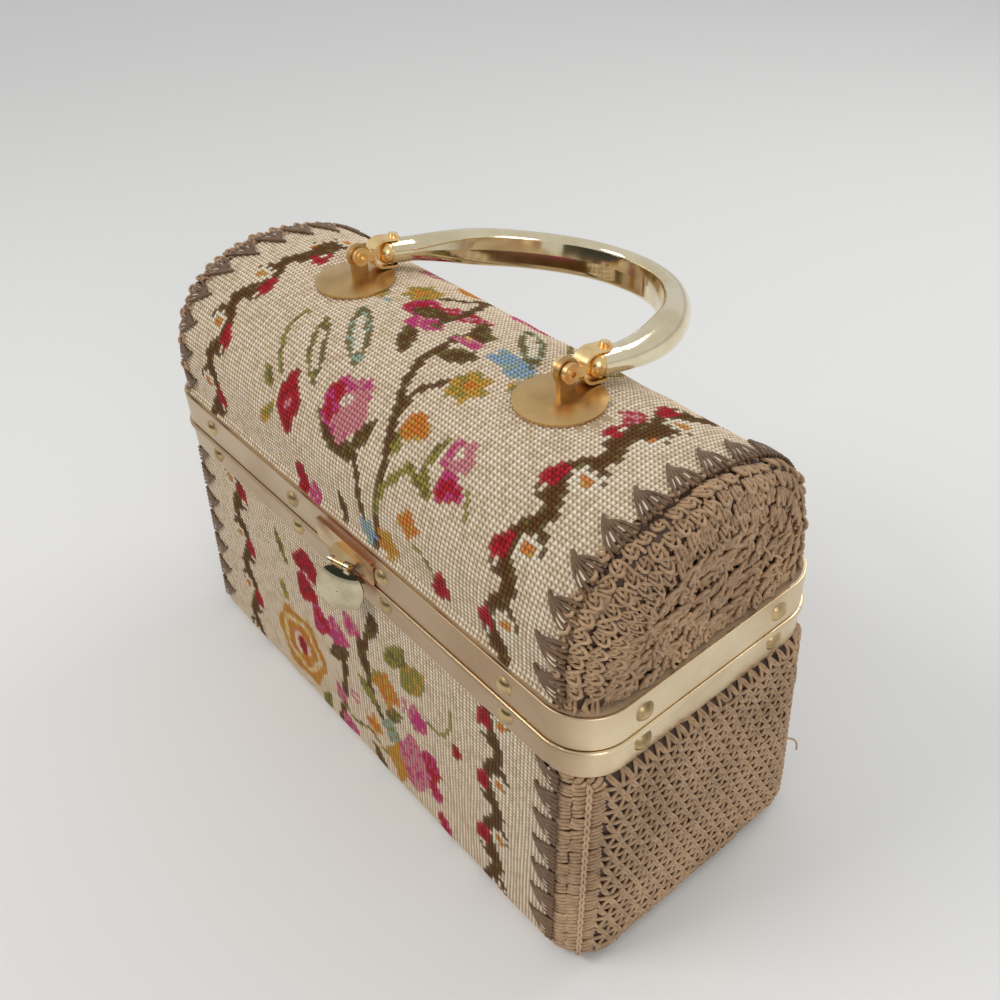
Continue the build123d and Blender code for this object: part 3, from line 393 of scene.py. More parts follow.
# %% Paint the front and back of the box
def paint_side(canvas):
    c = canvas
    c.stem([(-8, 52), (-10, 34), (-16, 12)], 4.5)
    c.stem([(16, 96), (9, 74), (12, 52), (20, 40)], 4.2)
    c.leaf((14, 84), (20, 98), 7, "brown", "moss")
    c.leaf((4, 80), (11, 58), 7, "brown", "moss")
    c.leaf((-50, 80), (-58, 97), 6, "olive", "moss")
    c.leaf((-54, 56), (-58, 68), 6, "olive", "mustard")
    c.leaf((34, 74), (50, 90), 14, "olive", "mustard")
    c.leaf((24, 78), (38, 94), 10, "olive", "moss")
    c.spot(-32, 90, 10, 8, "red", "deep_red", lobes=4, depth=0.1)
    c.spot(-35, 76, 8.5, 7, "red", "deep_red", lobes=3)
    c.spot(-25, 65, 7.5, 8, "red", "magenta", lobes=3)
    c.spot(-12, 67, 8, 7, "magenta", "pink", lobes=3)
    c.spot(0, 80, 6, 6, "pink", "magenta", lobes=3)
    c.spot(-31, 83, 5, 1.4, "pink", "white", lean=-20)
    c.spot(-46, 36, 20, 19, "mustard", "orange", lobes=6, depth=0.07)
    c.spot(-46, 36, 15.5, 14.5, "straw", "ivory", lobes=5, depth=0.06, share=0.4)
    c.spot(-46, 36, 12.5, 11.5, "orange", "mustard", lobes=5, depth=0.08)
    c.spot(-46, 36, 7, 6.4, "ivory", "pink", lobes=3, share=0.3)
    c.spot(-45, 36, 3.6, 5.4, "deep_red", "red")
    c.leaf((-4, 62), (-20, 50), 8, "brown", "moss")
    c.leaf((12, 60), (26, 70), 8, "olive", "mustard")
    c.leaf((18, 44), (2, 56), 7, "olive", "moss")
    c.leaf((22, 46), (34, 56), 7, "moss", "olive")
    c.leaf((-24, 22), (-30, 8), 7, "olive", "moss")
    c.leaf((10, 20), (20, 8), 7, "brown", "moss")
    c.spot(24, 62, 7.5, 8, "orange", "mustard", lobes=4)
    c.spot(12, 32, 5.5, 5.5, "orange", "straw", lobes=4)
    c.spot(-14, 30, 5, 5, "pink", "magenta", lobes=3)
    c.spot(25, 40, 6, 6, "teal", "olive", lobes=4)
    c.spot(30, 25, 8.5, 10, "mustard", "orange", lobes=4)
    c.spot(39, 62, 6, 5, "pink", "white", lobes=3)
    c.spot(45, 62, 5.5, 6.5, "magenta", "pink", lobes=3)
    c.spot(41, 34, 10, 15, "pink", "magenta", lobes=4, depth=0.1, share=0.25)
    c.spot(53, 43, 5.5, 7.5, "red", "magenta", lean=20)
    c.spot(55, 30, 4, 6, "red", "magenta", lean=15)
    c.stem([(51, 66), (61, 68), (66, 76), (65, 86)], 1.8, "olive", "moss")
    c.spot(69, 66, 2.6, 3.2, "red", "deep_red")
    c.spot(61, 14, 4, 7, "red", "magenta", lean=25)
    c.stem([(62, 10), (70, 2)], 1.8, "brown", "moss")
    c.stem([(-18, 26), (-2, 22), (8, 26), (20, 22)], 1.8, "olive", "brown")
    c.spot(-9, 15, 6, 5, "magenta", "pink", lobes=3)
    c.spot(-2, 38, 4, 5, "pink", "ivory", lobes=3)
    for side in (-1, 1):
        c.garland(side * 89.5, 5, 4, 31)


side_canvas = Canvas(0.242, side_line.length)
paint_side(side_canvas)
side_canvas.soften()
print("side stitches:", side_canvas.columns, "x", side_canvas.rows)

# %% [markdown]
# ## A cloth material that follows the stitches
# The wool's colour comes from an attribute with one value per stitch. Each stitch also needs its
# own shape, made both as a bump and as painted shade: the colour is darkened where the stitch dips
# into the canvas and lighter on its back, with a slanted strand across. The piece's own UV map
# counts stitches, so sines of it make that shape, and it never slides when the lid opens. The same
# group serves every woven cloth here, coarse or fine, so the linings carry the same painted shade.

# %% Small node helpers and the weave group
def new_group(name, inputs, outputs):
    group = bpy.data.node_groups.new(name, "ShaderNodeTree")
    for direction, sockets in (("INPUT", inputs), ("OUTPUT", outputs)):
        for label, kind, value in sockets:
            socket = group.interface.new_socket(label, in_out=direction, socket_type="NodeSocket" + kind)
            if value is not None and direction == "INPUT":
                socket.default_value = value
    return group, group.nodes.new("NodeGroupInput"), group.nodes.new("NodeGroupOutput")


def node(tree, kind, links=None, values=None, **settings):
    """One node, with its sockets linked or set by name or number."""
    made = tree.nodes.new("ShaderNode" + kind)
    for key, value in settings.items():
        setattr(made, key, value)
    for key, value in (values or {}).items():
        made.inputs[key].default_value = value
    for key, source in (links or {}).items():
        tree.links.new(source, made.inputs[key])
    return made


def maths(tree, operation, first, second=None):
    made = tree.nodes.new("ShaderNodeMath")
    made.operation = operation
    for slot, value in ((0, first), (1, second)):
        if value is None:
            continue
        if isinstance(value, (int, float)):
            made.inputs[slot].default_value = value
        else:
            tree.links.new(value, made.inputs[slot])
    return made.outputs[0]


def mix_colour(tree, factor, first, second, blend="MIX"):
    made = tree.nodes.new("ShaderNodeMix")
    made.data_type = "RGBA"
    made.blend_type = blend
    for slot, value in ((0, factor), (6, first), (7, second)):
        if isinstance(value, bpy.types.NodeSocket):
            tree.links.new(value, made.inputs[slot])
        else:
            made.inputs[slot].default_value = value
    return made.outputs[2]


def noise(tree, place, scale, detail):
    """Noise from 0 to 1. Its scale is a number or a socket."""
    if isinstance(scale, (int, float)):
        return node(tree, "TexNoise", {"Vector": place}, {"Scale": scale, "Detail": detail}).outputs[0]
    return node(tree, "TexNoise", {"Vector": place, "Scale": scale}, {"Detail": detail}).outputs[0]


def ranged(tree, value, low, high, start=0.0, end=1.0):
    """The value's place between low and high, read from start to end."""
    limits = {"From Min": low, "From Max": high, "To Min": start, "To Max": end}
    return node(tree, "MapRange", {"Value": value}, limits).outputs[0]


def raise_surface(tree, shader, height, strength, distance):
    raised = node(tree, "Bump", {"Height": height}, {"Strength": strength, "Distance": distance})
    tree.links.new(raised.outputs[0], shader.inputs["Normal"])


weave, weave_in, weave_out = new_group(
    "weave",
    [("Place", "Vector", None), ("Colour", "Color", (1, 1, 1, 1)), ("Depth", "Float", 0.4)],
    [("Colour", "Color", None), ("Height", "Float", None)],
)
parts = node(weave, "SeparateXYZ", {0: weave_in.outputs["Place"]})
across = maths(weave, "ABSOLUTE", maths(weave, "SINE", maths(weave, "MULTIPLY", parts.outputs[0], pi)))
upward = maths(weave, "ABSOLUTE", maths(weave, "SINE", maths(weave, "MULTIPLY", parts.outputs[1], pi)))
pillow = maths(weave, "POWER", maths(weave, "MULTIPLY", across, upward), 0.6)
slant = maths(weave, "MULTIPLY", maths(weave, "ADD", parts.outputs[0], parts.outputs[1]), 2 * pi)
strand = maths(weave, "MULTIPLY", maths(weave, "SINE", slant), 0.24)
fuzz = maths(weave, "MULTIPLY", noise(weave, weave_in.outputs["Place"], 5.0, 3.0), 0.3)
level = maths(weave, "ADD", maths(weave, "ADD", pillow, strand), fuzz)
# Painted shade: each stitch's colour is darkened where it sinks into the canvas and lighter on its crown.
painted_stitch_shade = maths(weave, "MULTIPLY", weave_in.outputs["Depth"], maths(weave, "SUBTRACT", 1.15, level))
shade = maths(weave, "SUBTRACT", 1.12, painted_stitch_shade)
grey = node(weave, "CombineXYZ", {0: shade, 1: shade, 2: shade}).outputs[0]
woven = mix_colour(weave, 1.0, weave_in.outputs["Colour"], grey, "MULTIPLY")
weave.links.new(woven, weave_out.inputs["Colour"])
weave.links.new(level, weave_out.inputs["Height"])


def cloth_material(name, colour, depth, bump, attribute=None):
    """A woven cloth with painted shade in its stitches: its colour comes from the attribute, or is one
    colour with softer stains.
    """
    values = {"Roughness": 0.9, "Sheen Weight": 0.04, "Specular IOR Level": 0.15}
    material, tree, shader = new_material(name, values)
    place = node(tree, "TexCoord").outputs["UV"]
    group = node(tree, "Group", {"Place": place}, {"Depth": depth}, node_tree=weave)
    if attribute:
        read = node(tree, "Attribute", attribute_name=attribute)
        tree.links.new(read.outputs["Color"], group.inputs["Colour"])
    else:
        worn = (*(linear(*colour) * 0.72), 1)
        stained = mix_colour(tree, noise(tree, place, 0.12, 4.0), rgba(*colour), worn)
        tree.links.new(stained, group.inputs["Colour"])
    tree.links.new(group.outputs["Colour"], shader.inputs["Base Color"])
    raise_surface(tree, shader, group.outputs["Height"], bump, 0.0004)
    return material


# The third number sets how strong the painted shade in the stitches is.
tapestry_cloth = cloth_material("tapestry_wool", None, 0.72, 1.0, attribute="wool")
lining_cloth = cloth_material("lining_cotton", (196, 176, 146), 0.18, 0.3)
bottom_cotton = cloth_material("bottom_cotton", (98, 80, 62), 0.25, 0.5)
print("weave group sockets:", len(weave.interface.items_tree))

# %% [markdown]
# ## Tapestry covers
# On the real bag the tapestry is glued over board: one piece over the lid from seam to seam, and
# one on each long side, turned under at the bottom. Here each starts as a flat grid with two cells
# to a stitch. The grid's middle points stand up, so every stitch is a small pillow in the mesh, and
# the whole grid is then read onto the section line. Under the two handle plates the cloth is
# pressed down and puckers in short rays.

# %% Lay a flat mesh on a line, and make the covers
def points_of(mesh):
    flat = np.zeros(len(mesh.vertices) * 3)
    mesh.vertices.foreach_get("co", flat)
    return flat.reshape(-1, 3)


def set_points(mesh, points):
    mesh.vertices.foreach_set("co", np.ascontiguousarray(points, float).ravel())
    mesh.update()


def waves(x, y, seed, scale):
    """A smooth random surface between about -1 and 1."""
    draw = np.random.default_rng(seed)
    total = np.zeros_like(x)
    for _ in range(6):
        way = draw.uniform(0, 2 * pi)
        size = scale * draw.uniform(0.6, 1.6)
        total += np.sin((x * np.cos(way) + y * np.sin(way)) * 2 * pi / size + draw.uniform(0, 2 * pi))
    return total / 3.5


def smooth_faces(mesh):
    mesh.polygons.foreach_set("use_smooth", np.ones(len(mesh.polygons), bool))
    mesh.update()


def grid_mesh(name, columns, rows):
    """A flat grid, and each point's share of the way across it and up it."""
    form = bmesh.new()
    bmesh.ops.create_grid(form, x_segments=columns, y_segments=rows, size=0.5)
    mesh = as_mesh(form, name)
    return mesh, points_of(mesh)[:, :2] + 0.5


def corner_points(mesh):
    """Which point stands at each corner of each face."""
    corners = np.zeros(len(mesh.loops), int)
    mesh.loops.foreach_get("vertex_index", corners)
    return corners


stitch_dip, board_swell, lowest = 0.00042, 0.00022, 0.0002


def cover(name, canvas, line, press=None):
    """A stitched cover over a section line; press gives how far the cloth is pushed in at (x, y, z)."""
    mesh, share = grid_mesh(name, 2 * canvas.columns, 2 * canvas.rows)
    along, up = share[:, 0] * canvas.columns, share[:, 1] * canvas.rows
    counted = np.stack([along, up], 1)[corner_points(mesh)]
    uv = mesh.uv_layers.new(name="stitches")
    uv.data.foreach_set("uv", counted.ravel())
    middle = counted.reshape(-1, 4, 2).mean(1)
    column = np.clip(middle[:, 0].astype(int), 0, canvas.columns - 1)
    row = np.clip(middle[:, 1].astype(int), 0, canvas.rows - 1)
    tint = canvas.colour[row, column] * (1 + 0.06 * np.sin(row * 12.9898 + column * 78.233))[:, None]
    paint = mesh.attributes.new("wool", "FLOAT_COLOR", "CORNER")
    paint.data.foreach_set("color", np.repeat(np.c_[tint, np.ones(len(tint))], 4, axis=0).ravel())
    x = (share[:, 0] - 0.5) * canvas.columns * stitch
    y, z, out_y, out_z = line.read(share[:, 1] * line.length)
    raised = np.abs(np.sin(along * pi)) * np.abs(np.sin(up * pi))
    height = -stitch_dip * (1 - raised) + board_swell * waves(x, share[:, 1] * line.length, 3, 0.03)
    if press:
        height = height + press(x, y, z)
    set_points(mesh, np.stack([x, y + out_y * height, np.maximum(z + out_z * height, lowest)], 1))
    smooth_faces(mesh)
    mesh.materials.append(tapestry_cloth)
    return show(name, mesh)


plate_x, plate_y, plate_radius = 0.0605, 0.0015, 0.016
plate_seat, plate_dish, deepest_press = 0.00055, 0.0012, 0.00165
pucker_reach, pucker_height, pucker_lowest_z = 0.011, 0.00034, 0.16


def under_plates(x, y, z):
    """Cloth pressed under each plate, coming back up outside its rim, with short rays."""
    total = np.zeros_like(x)
    for side in (-1, 1):
        away = np.hypot(x - side * plate_x, y - plate_y)
        way = np.arctan2(y - plate_y, x - side * plate_x)
        inside = np.minimum(away, plate_radius + 0.0004)
        under = lid_top - plate_seat - plate_dish * (inside / plate_radius) ** 2
        sideways = inside / np.maximum(away, 1e-6) * y
        surface = crown_z + np.sqrt(np.maximum(crown_radius**2 - sideways**2, 0))
        push = np.clip(surface - under, 0, deepest_press)
        fade = np.clip(1 - (away - inside) / pucker_reach, 0, 1)
        fade = fade * fade * (3 - 2 * fade)
        rays = pucker_height * np.sin(way * 17 + 1.3 * np.sin(way * 3)) * fade
        total += -push * fade + rays * (away > plate_radius + 0.001)
    return np.where(z > pucker_lowest_z, total, 0)


lid_cover = cover("lid_tapestry_cloth", lid_canvas, lid_line, under_plates)
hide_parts("lid_tapestry")
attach(lid_cover, "lid")
front_cover = cover("front_tapestry_cloth", side_canvas, side_line)
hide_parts("base_front_tapestry")
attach(front_cover, "box")
back_cover = cover("back_tapestry_cloth", side_canvas, side_line)
around = Matrix.Rotation(pi, 4, "Z")
back_cover.data.transform(around)
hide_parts("base_back_tapestry")
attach(back_cover, "box")
laid_covers = (
    (lid_cover, lid_line, lid_canvas),
    (front_cover, side_line, side_canvas),
    (back_cover, side_line, side_canvas),
)
for piece, line, canvas in laid_covers:
    print(piece.name, len(piece.data.polygons), "faces")

# %% [markdown]
# ## Crochet: cord, stitch, cloth
# The ends are crocheted in soft brown cord about 1.5 mm thick. Nobody could place every loop by
# hand, but crochet is one stitch repeated, so one stitch is drawn as a few short curves with a
# round bevel, two Array modifiers repeat it into a flat cloth, and the flat cloth is then wrapped
# round the end, with small random turns and bulges so that it looks hand made. Felt lies behind,
# where the real bag has its stiff wall; it is coloured dark as painted shade, so the holes between
# the loops look deep.

# %% Draw and repeat one stitch
def drawn(runs, radius, steps=2, sides=1):
    """Short cords along runs of points, as one mesh."""
    data = bpy.data.curves.new("drawn_cord", "CURVE")
    data.dimensions = "3D"
    data.bevel_depth = radius
    data.bevel_resolution = sides
    data.resolution_u = steps
    data.use_fill_caps = True
    for run in runs:
        spline = data.splines.new("NURBS")
        spline.points.add(len(run) - 1)
        for point, place in zip(spline.points, run):
            point.co = (*place, 1)
        spline.order_u = 3
        spline.use_endpoint_u = True
        spline.resolution_u = steps
    holder = show("drawn_cord", data)
    mesh = bpy.data.meshes.new_from_object(holder)
    bpy.data.objects.remove(holder)
    return mesh


def repeated(mesh, columns, rows, step_x, step_y):
    """The flat cloth, and for each point which column and row of stitches it is in."""
    size = len(mesh.vertices)
    holder = show("stitch", mesh)
    for label, count, move in (("across", columns, (step_x, 0, 0)), ("up", rows, (0, step_y, 0))):
        array = holder.modifiers.new(label, "ARRAY")
        array.count = count
        array.use_relative_offset = False
        array.use_constant_offset = True
        array.constant_offset_displace = move
    tool = bpy.context.evaluated_depsgraph_get()
    result = bpy.data.meshes.new_from_object(holder.evaluated_get(tool))
    bpy.data.objects.remove(holder)
    order = np.arange(len(result.vertices)) // size
    return result, order % columns, order // columns


def keep_only(mesh, kept):
    form = bmesh.new()
    form.from_mesh(mesh)
    gone = [v for v, keep in zip(form.verts, kept) if not keep]
    bmesh.ops.delete(form, geom=gone, context="VERTS")
    form.to_mesh(mesh)
    form.free()


def jitter(points, column, row, pitch_x, pitch_y, swing, shift, seed, lift=0.0003):
    """Each stitch turned, moved and raised a little about its own middle."""
    draw = np.random.default_rng(seed)
    count = int(max(column.max(), row.max())) + 2
    angle = draw.uniform(-swing, swing, (count, count))[row, column]
    centre = np.stack([(column + 0.5) * pitch_x, (row + 0.5) * pitch_y], 1)
    centre_shift = draw.uniform(-shift, shift, (count, count, 2))[row, column]
    local = points[:, :2] - centre
    turned = np.stack(
        [
            local[:, 0] * np.cos(angle) - local[:, 1] * np.sin(angle),
            local[:, 0] * np.sin(angle) + local[:, 1] * np.cos(angle),
        ],
        1,
    )
    raised = draw.uniform(-lift, lift, (count, count))[row, column]
    return np.c_[centre + centre_shift + turned, points[:, 2] + raised]


lattice_cord, rib_cord, chain_cord, curl_cord = 0.00068, 0.00074, 0.00055, 0.00066


def lattice_stitch(w, h):
    """A fan of three strands under a bar: it leaves the triangle holes of the box ends."""
    low, high = -0.0015, 0.0001
    return [
        [(w * 0.5, 0, low), (w * 0.3, h * 0.5, high + 0.0003), (w * 0.02, h * 0.95, low)],
        [(w * 0.5, 0, low), (w * 0.7, h * 0.5, high + 0.0003), (w * 0.98, h * 0.95, low)],
        [(w * 0.42, h * 0.1, low), (w * 0.08, h * 0.42, high), (w * -0.1, h * 0.8, low)],
        [(0, h * 0.92, low), (w * 0.5, h * 1.02, high), (w, h * 0.92, low)],
    ]


def rib_stitch(w, h):
    low, high = -0.0012, -0.0004
    return [
        [(w * 0.02, h * t, low), (w * 0.5, h * (t + 0.16), high), (w * 0.98, h * (t + 0.36), low)]
        for t in (0.0, 0.31, 0.62)
    ]


def curl_stitch(w, h):
    """Loose loops for the lid ends: a curl and three crossing strands."""
    low, high = -0.0016, 0.0004
    return [
        [(w * 0.15, h * 0.1, low), (0, h * 0.75, high), (w * 0.55, h, high), (w * 0.8, h * 0.55, low)],
        [(w * 0.4, 0, low), (w * 0.28, h * 0.6, high), (w * 0.62, h * 0.7, low)],
        [(w * 0.5, h * 0.05, low), (w * 0.85, h * 0.35, high), (w * 1.05, h * 0.95, low)],
        [(w * 0.05, h * 0.95, low), (w * 0.5, h * 0.45, high - 0.0006), (w, h * 0.1, low)],
    ]


sample = drawn(lattice_stitch(0.006, 0.006), lattice_cord)
print("faces in one lattice stitch:", len(sample.polygons))


# %% Wrap a flat cloth round the ends
join_x, lid_join_x, lid_end_x = 0.120, 0.118, 0.1318
end_reach, end_lean, corner_round = 0.1395, 0.0015, 0.018
front_strip, end_flat = 0.0015, 0.089
quarter = corner_round * pi / 2
end_length = 2 * (front_strip + quarter) + end_flat
end_height = bottom_round * pi / 2 + body_top - bottom_round - 0.0004
box_edge, lid_edge = 0.0006, 0.0007
lip_size, lip_drop = 0.003, 0.0035
flare_size, flare_height, flare_half, flare_fade = 0.002, 0.0035, 0.042, 0.008


def round_box_end(side, along, up, height):
    """along: from the front join round the end to the back join. up: from the bottom fold."""
    up = np.clip(up, box_edge, end_height - box_edge)
    fold = bottom_round * pi / 2
    tip = np.clip(up / bottom_round, 0, pi / 2)
    z = 0.001 + bottom_round * (1 - np.cos(tip)) + np.maximum(up - fold, 0) * 0.998
    drawn_in = bottom_round * (1 - np.sin(tip))
    lip = lip_size * np.clip((z + lip_drop - body_top) / lip_size, 0, 1) ** 2
    half_x = end_reach - end_lean * z / body_top - drawn_in - lip
    half_y = foot_depth - (foot_depth - neck_depth) * z / body_top - drawn_in
    corner = corner_round - drawn_in
    mirrored = along > front_strip + quarter + end_flat / 2
    a = np.where(mirrored, end_length - along, along)
    bend = np.clip((a - front_strip) / quarter, 0, 1) * pi / 2
    on_front = np.minimum(a, front_strip)
    straight = np.where(on_front > 0, on_front / front_strip * (half_x - corner - join_x), on_front)
    past = np.clip((a - front_strip - quarter) / (end_flat / 2), 0, 1)
    centre_x = np.where(bend > 0, half_x - corner, join_x + straight)
    centre_y = -(half_y - corner) * (1 - past)
    x = centre_x + corner * np.sin(bend)
    y = centre_y - corner * np.cos(bend)
    out_x, out_y, out_z = np.sin(bend) * np.sin(tip), -np.cos(bend) * np.sin(tip), -np.cos(tip)
    x, y, z = x + out_x * height, y + out_y * height, z + out_z * height
    return np.stack([side * x, np.where(mirrored, -y, y), np.maximum(z, lowest)], 1)


def foot_flare(y, z):
    """How far the lid's end stands out just above the band, less towards its corners."""
    fade = np.exp(-np.maximum(z - lid_foot, 0) / flare_height)
    return flare_size * fade * np.clip((flare_half - np.abs(y)) / flare_fade, 0, 1)


def round_lid_end(side, along, across, height):
    """along: on the arch. across: from the tapestry's edge over the rim and in over the end."""
    y, z, out_y, out_z = lid_line.read(np.clip(along, lid_edge, lid_line.length - lid_edge))
    rim = 0.007 + 0.009 * out_y**2
    straight = lid_end_x - rim - lid_join_x
    tip = np.clip((across - straight) / rim, 0, pi / 2)
    beyond = np.maximum(across - straight - rim * pi / 2, 0)
    x = lid_join_x + np.minimum(across, straight) + rim * np.sin(tip)
    drawn_in = rim * (1 - np.cos(tip)) + beyond - height * np.cos(tip)
    z = z - out_z * drawn_in
    x = x + (height + foot_flare(y, z)) * np.sin(tip)
    return np.stack([side * x, y - out_y * drawn_in, z], 1)


print("end cloth", round(end_length, 4), "x", round(end_height, 4))

# %% [markdown]
# ## Cord and felt materials
# The cord is a matt twisted cotton: warm taupe, mixed at random with paler and darker patches,
# with fine fibres. Noise of three sizes in Object coordinates gives that. The edge stitches are the
# same cord, a little darker, and their small loops are ivory.

# %% Make the cord materials
fibre, fibre_in, fibre_out = new_group(
    "fibre",
    [
        ("Place", "Vector", None),
        ("Colour", "Color", (1, 1, 1, 1)),
        ("Dark", "Color", (0, 0, 0, 1)),
        ("Fibre", "Float", 2600.0),
    ],
    [("Colour", "Color", None), ("Height", "Float", None)],
)
broad = maths(fibre, "MULTIPLY", noise(fibre, fibre_in.outputs["Place"], 22.0, 3.0), 0.6)
middle = maths(fibre, "MULTIPLY", noise(fibre, fibre_in.outputs["Place"], 380.0, 2.0), 0.55)
fine = noise(fibre, fibre_in.outputs["Place"], fibre_in.outputs["Fibre"], 2.0)
share = ranged(fibre, maths(fibre, "ADD", broad, middle), 0.38, 0.78)
blended = mix_colour(fibre, share, fibre_in.outputs["Dark"], fibre_in.outputs["Colour"])
fibre.links.new(blended, fibre_out.inputs["Colour"])
fibre.links.new(fine, fibre_out.inputs["Height"])


def cord_material(name, colour, dark, bump=0.5):
    values = {"Roughness": 0.52, "Sheen Weight": 0.1, "Specular IOR Level": 0.5}
    material, tree, shader = new_material(name, values)
    place = node(tree, "TexCoord").outputs["Object"]
    colours = {"Colour": rgba(*colour), "Dark": rgba(*dark)}
    group = node(tree, "Group", {"Place": place}, colours, node_tree=fibre)
    tree.links.new(group.outputs["Colour"], shader.inputs["Base Color"])
    raise_surface(tree, shader, group.outputs["Height"], bump, 0.0003)
    return material


brown_cord = cord_material("brown_cord", (196, 160, 122), (132, 100, 68))
edge_cord = cord_material("edge_cord", (124, 90, 58), (78, 52, 30))
pale_cord = cord_material("pale_cord", (206, 172, 134), (160, 128, 94))
ivory_cord = cord_material("ivory_cord", (226, 212, 188), (200, 184, 156))
# The felt behind the crochet is coloured dark as painted shade in the holes between the loops.
felt_painted_shade = cord_material("felt_painted_shade", (88, 60, 40), (58, 38, 24), 0.8)
print("cord materials: 5")


# %% Crochet the box ends
def bulge(points, seed, size):
    return size * waves(points[:, 0] + points[:, 1], points[:, 1] - points[:, 2], seed, 0.05)


def made(name, mesh, material, body):
    smooth_faces(mesh)
    mesh.materials.clear()
    mesh.materials.append(material)
    thing = show(name, mesh)
    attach(thing, body)
    return thing


rib_width, rib_pitch, rib_start, rib_count = 0.0205, 0.0056, 0.0035, 3
chain_place, chain_pitch, chain_links = 0.0147, 0.0039, 26
box_felt_depth, thread_radius = 0.0016, 0.0004
box_columns, box_rows = 19, 18
pitch_x = (end_length - 2 * rib_width) / (box_columns - 0.5)
pitch_y = end_height / box_rows


def box_lattice(side, place):
    one = drawn(lattice_stitch(pitch_x, pitch_y), lattice_cord)
    flat, column, row = repeated(one, box_columns, box_rows, pitch_x, pitch_y)
    points = jitter(points_of(flat), column, row, pitch_x, pitch_y, 0.16, 0.0004, 11 + side)
    along = rib_width - pitch_x / 4 + points[:, 0] + pitch_x / 2 * (row % 2)
    height = points[:, 2] + bulge(points, 5, 0.0004)
    set_points(flat, round_box_end(side, along, points[:, 1], height))
    crochet = made(f"box_crochet_{place}", flat, brown_cord, "box")
    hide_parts(f"base_crochet_{place}")
    return crochet


def box_ribs(side, place, label, first):
    one = drawn(rib_stitch(rib_pitch, pitch_y), rib_cord)
    flat, column, row = repeated(one, rib_count, box_rows, rib_pitch, pitch_y)
    points = jitter(points_of(flat), column, row, rib_pitch, pitch_y, 0.2, 0.0004, 12 + side)
    up = points[:, 1] + pitch_y / 2 * (column % 2)
    set_points(flat, round_box_end(side, first + points[:, 0], up, points[:, 2]))
    made(f"box_ribs_{label}_{place}", flat, brown_cord, "box")


def box_chain(side, place, label, middle):
    """A pale chain between the second and third rib: each link is two strands that part and meet."""
    strands = [[(0, 0, 0.0004), (bow, 0.0018, 0.0009), (0, 0.0042, 0.0004)] for bow in (0.0013, -0.0013)]
    flat, _, _ = repeated(drawn(strands, chain_cord), 1, chain_links, 0, chain_pitch)
    points = points_of(flat)
    set_points(flat, round_box_end(side, middle + points[:, 0], points[:, 1], points[:, 2] - 0.0004))
    made(f"box_chain_{label}_{place}", flat, pale_cord, "box")


def box_felt(side, place):
    felt, share = grid_mesh("felt", 48, 26)
    along, up = share[:, 0] * end_length, share[:, 1] * end_height
    set_points(felt, round_box_end(side, along, up, np.full(len(share), -box_felt_depth)))
    if side < 0:
        felt.flip_normals()
    made(f"box_felt_{place}", felt, felt_painted_shade, "box")


for side, place in ((-1, "left"), (1, "right")):
    crochet = box_lattice(side, place)
    box_ribs(side, place, "front", rib_start)
    box_chain(side, place, "front", chain_place)
    box_ribs(side, place, "back", end_length - rib_start - rib_count * rib_pitch)
    box_chain(side, place, "back", end_length - chain_place)
    box_felt(side, place)
    print("box crochet", place, len(crochet.data.polygons), "faces")

thread_start, thread_end = (0.1245, 0.047, -0.0004), (0.1268, 0.04, 0.0042)
thread_run = [thread_start, (0.126, 0.0475, 0.0018), (0.127, 0.044, 0.0044), thread_end]
loose = drawn([thread_run], thread_radius)
points = points_of(loose)
set_points(loose, round_box_end(1, points[:, 0], points[:, 1], points[:, 2]))
made("loose_thread", loose, pale_cord, "box")


# %% Crochet the lid ends
lid_columns, lid_rows, lid_row_pitch = 32, 5, 0.0061
lid_pitch = lid_line.length / lid_columns
inner_columns, inner_rows, inner_pitch = 17, 9, 0.0048
rim_clearance, lid_felt_depth, felt_inset = 0.0185, 0.0017, 0.0155


def lid_rim_curls(side):
    """Curls over the rim, from the tapestry's edge on to the flat of the end."""
    one = drawn(curl_stitch(lid_pitch, lid_row_pitch), curl_cord)
    flat, column, row = repeated(one, lid_columns, lid_rows, lid_pitch, lid_row_pitch)
    points = jitter(points_of(flat), column, row, lid_pitch, lid_row_pitch, 0.5, 0.0006, 21 + side, 0.0006)
    height = points[:, 2] + bulge(points, 6, 0.0005)
    set_points(flat, round_lid_end(side, points[:, 0], points[:, 1] - 0.0022, height))
    return flat


def lid_inner_curls(side):
    """Curls on the flat of the end, kept where they stand clear of the rim."""
    one = drawn(curl_stitch(inner_pitch * 1.2, inner_pitch * 1.35), curl_cord)
    inner, column, row = repeated(one, inner_columns, inner_rows, inner_pitch, inner_pitch)
    points = jitter(points_of(inner), column, row, inner_pitch, inner_pitch, 1.2, 0.0006, 31 + side, 0.0006)
    half_width = inner_columns * inner_pitch / 2
    y = points[:, 0] - half_width + (row % 2) * inner_pitch / 2 - inner_pitch / 4
    z = np.maximum(points[:, 1] - 0.0008, 0.0006) + lid_foot
    x = lid_end_x + points[:, 2] + foot_flare(y, z)
    set_points(inner, np.stack([side * x, y, z], 1))
    middle_y = (column + 0.5) * inner_pitch - half_width
    middle_z = (row + 0.5) * inner_pitch + lid_foot
    edge = lid_line.points[2:-2:6]
    away = np.hypot(middle_y[:, None] - edge[None, :, 0], middle_z[:, None] - edge[None, :, 1])
    keep_only(inner, away.min(axis=1) > rim_clearance)
    return inner


def lid_felt(side, place):
    """Felt under the rim's curls, and one flat piece across the end."""
    felt, share = grid_mesh("felt", 80, 14)
    along, across = share[:, 0] * lid_line.length, share[:, 1] * 0.026
    set_points(felt, round_lid_end(side, along, across, np.full(len(share), -lid_felt_depth)))
    form = bmesh.new()
    outline = [form.verts.new((side * 0.1298, y, z)) for y, z in arch(felt_inset).points[::4]]
    form.faces.new(outline)
    form.from_mesh(felt)
    form.to_mesh(felt)
    form.free()
    made(f"lid_felt_{place}", felt, felt_painted_shade, "lid")


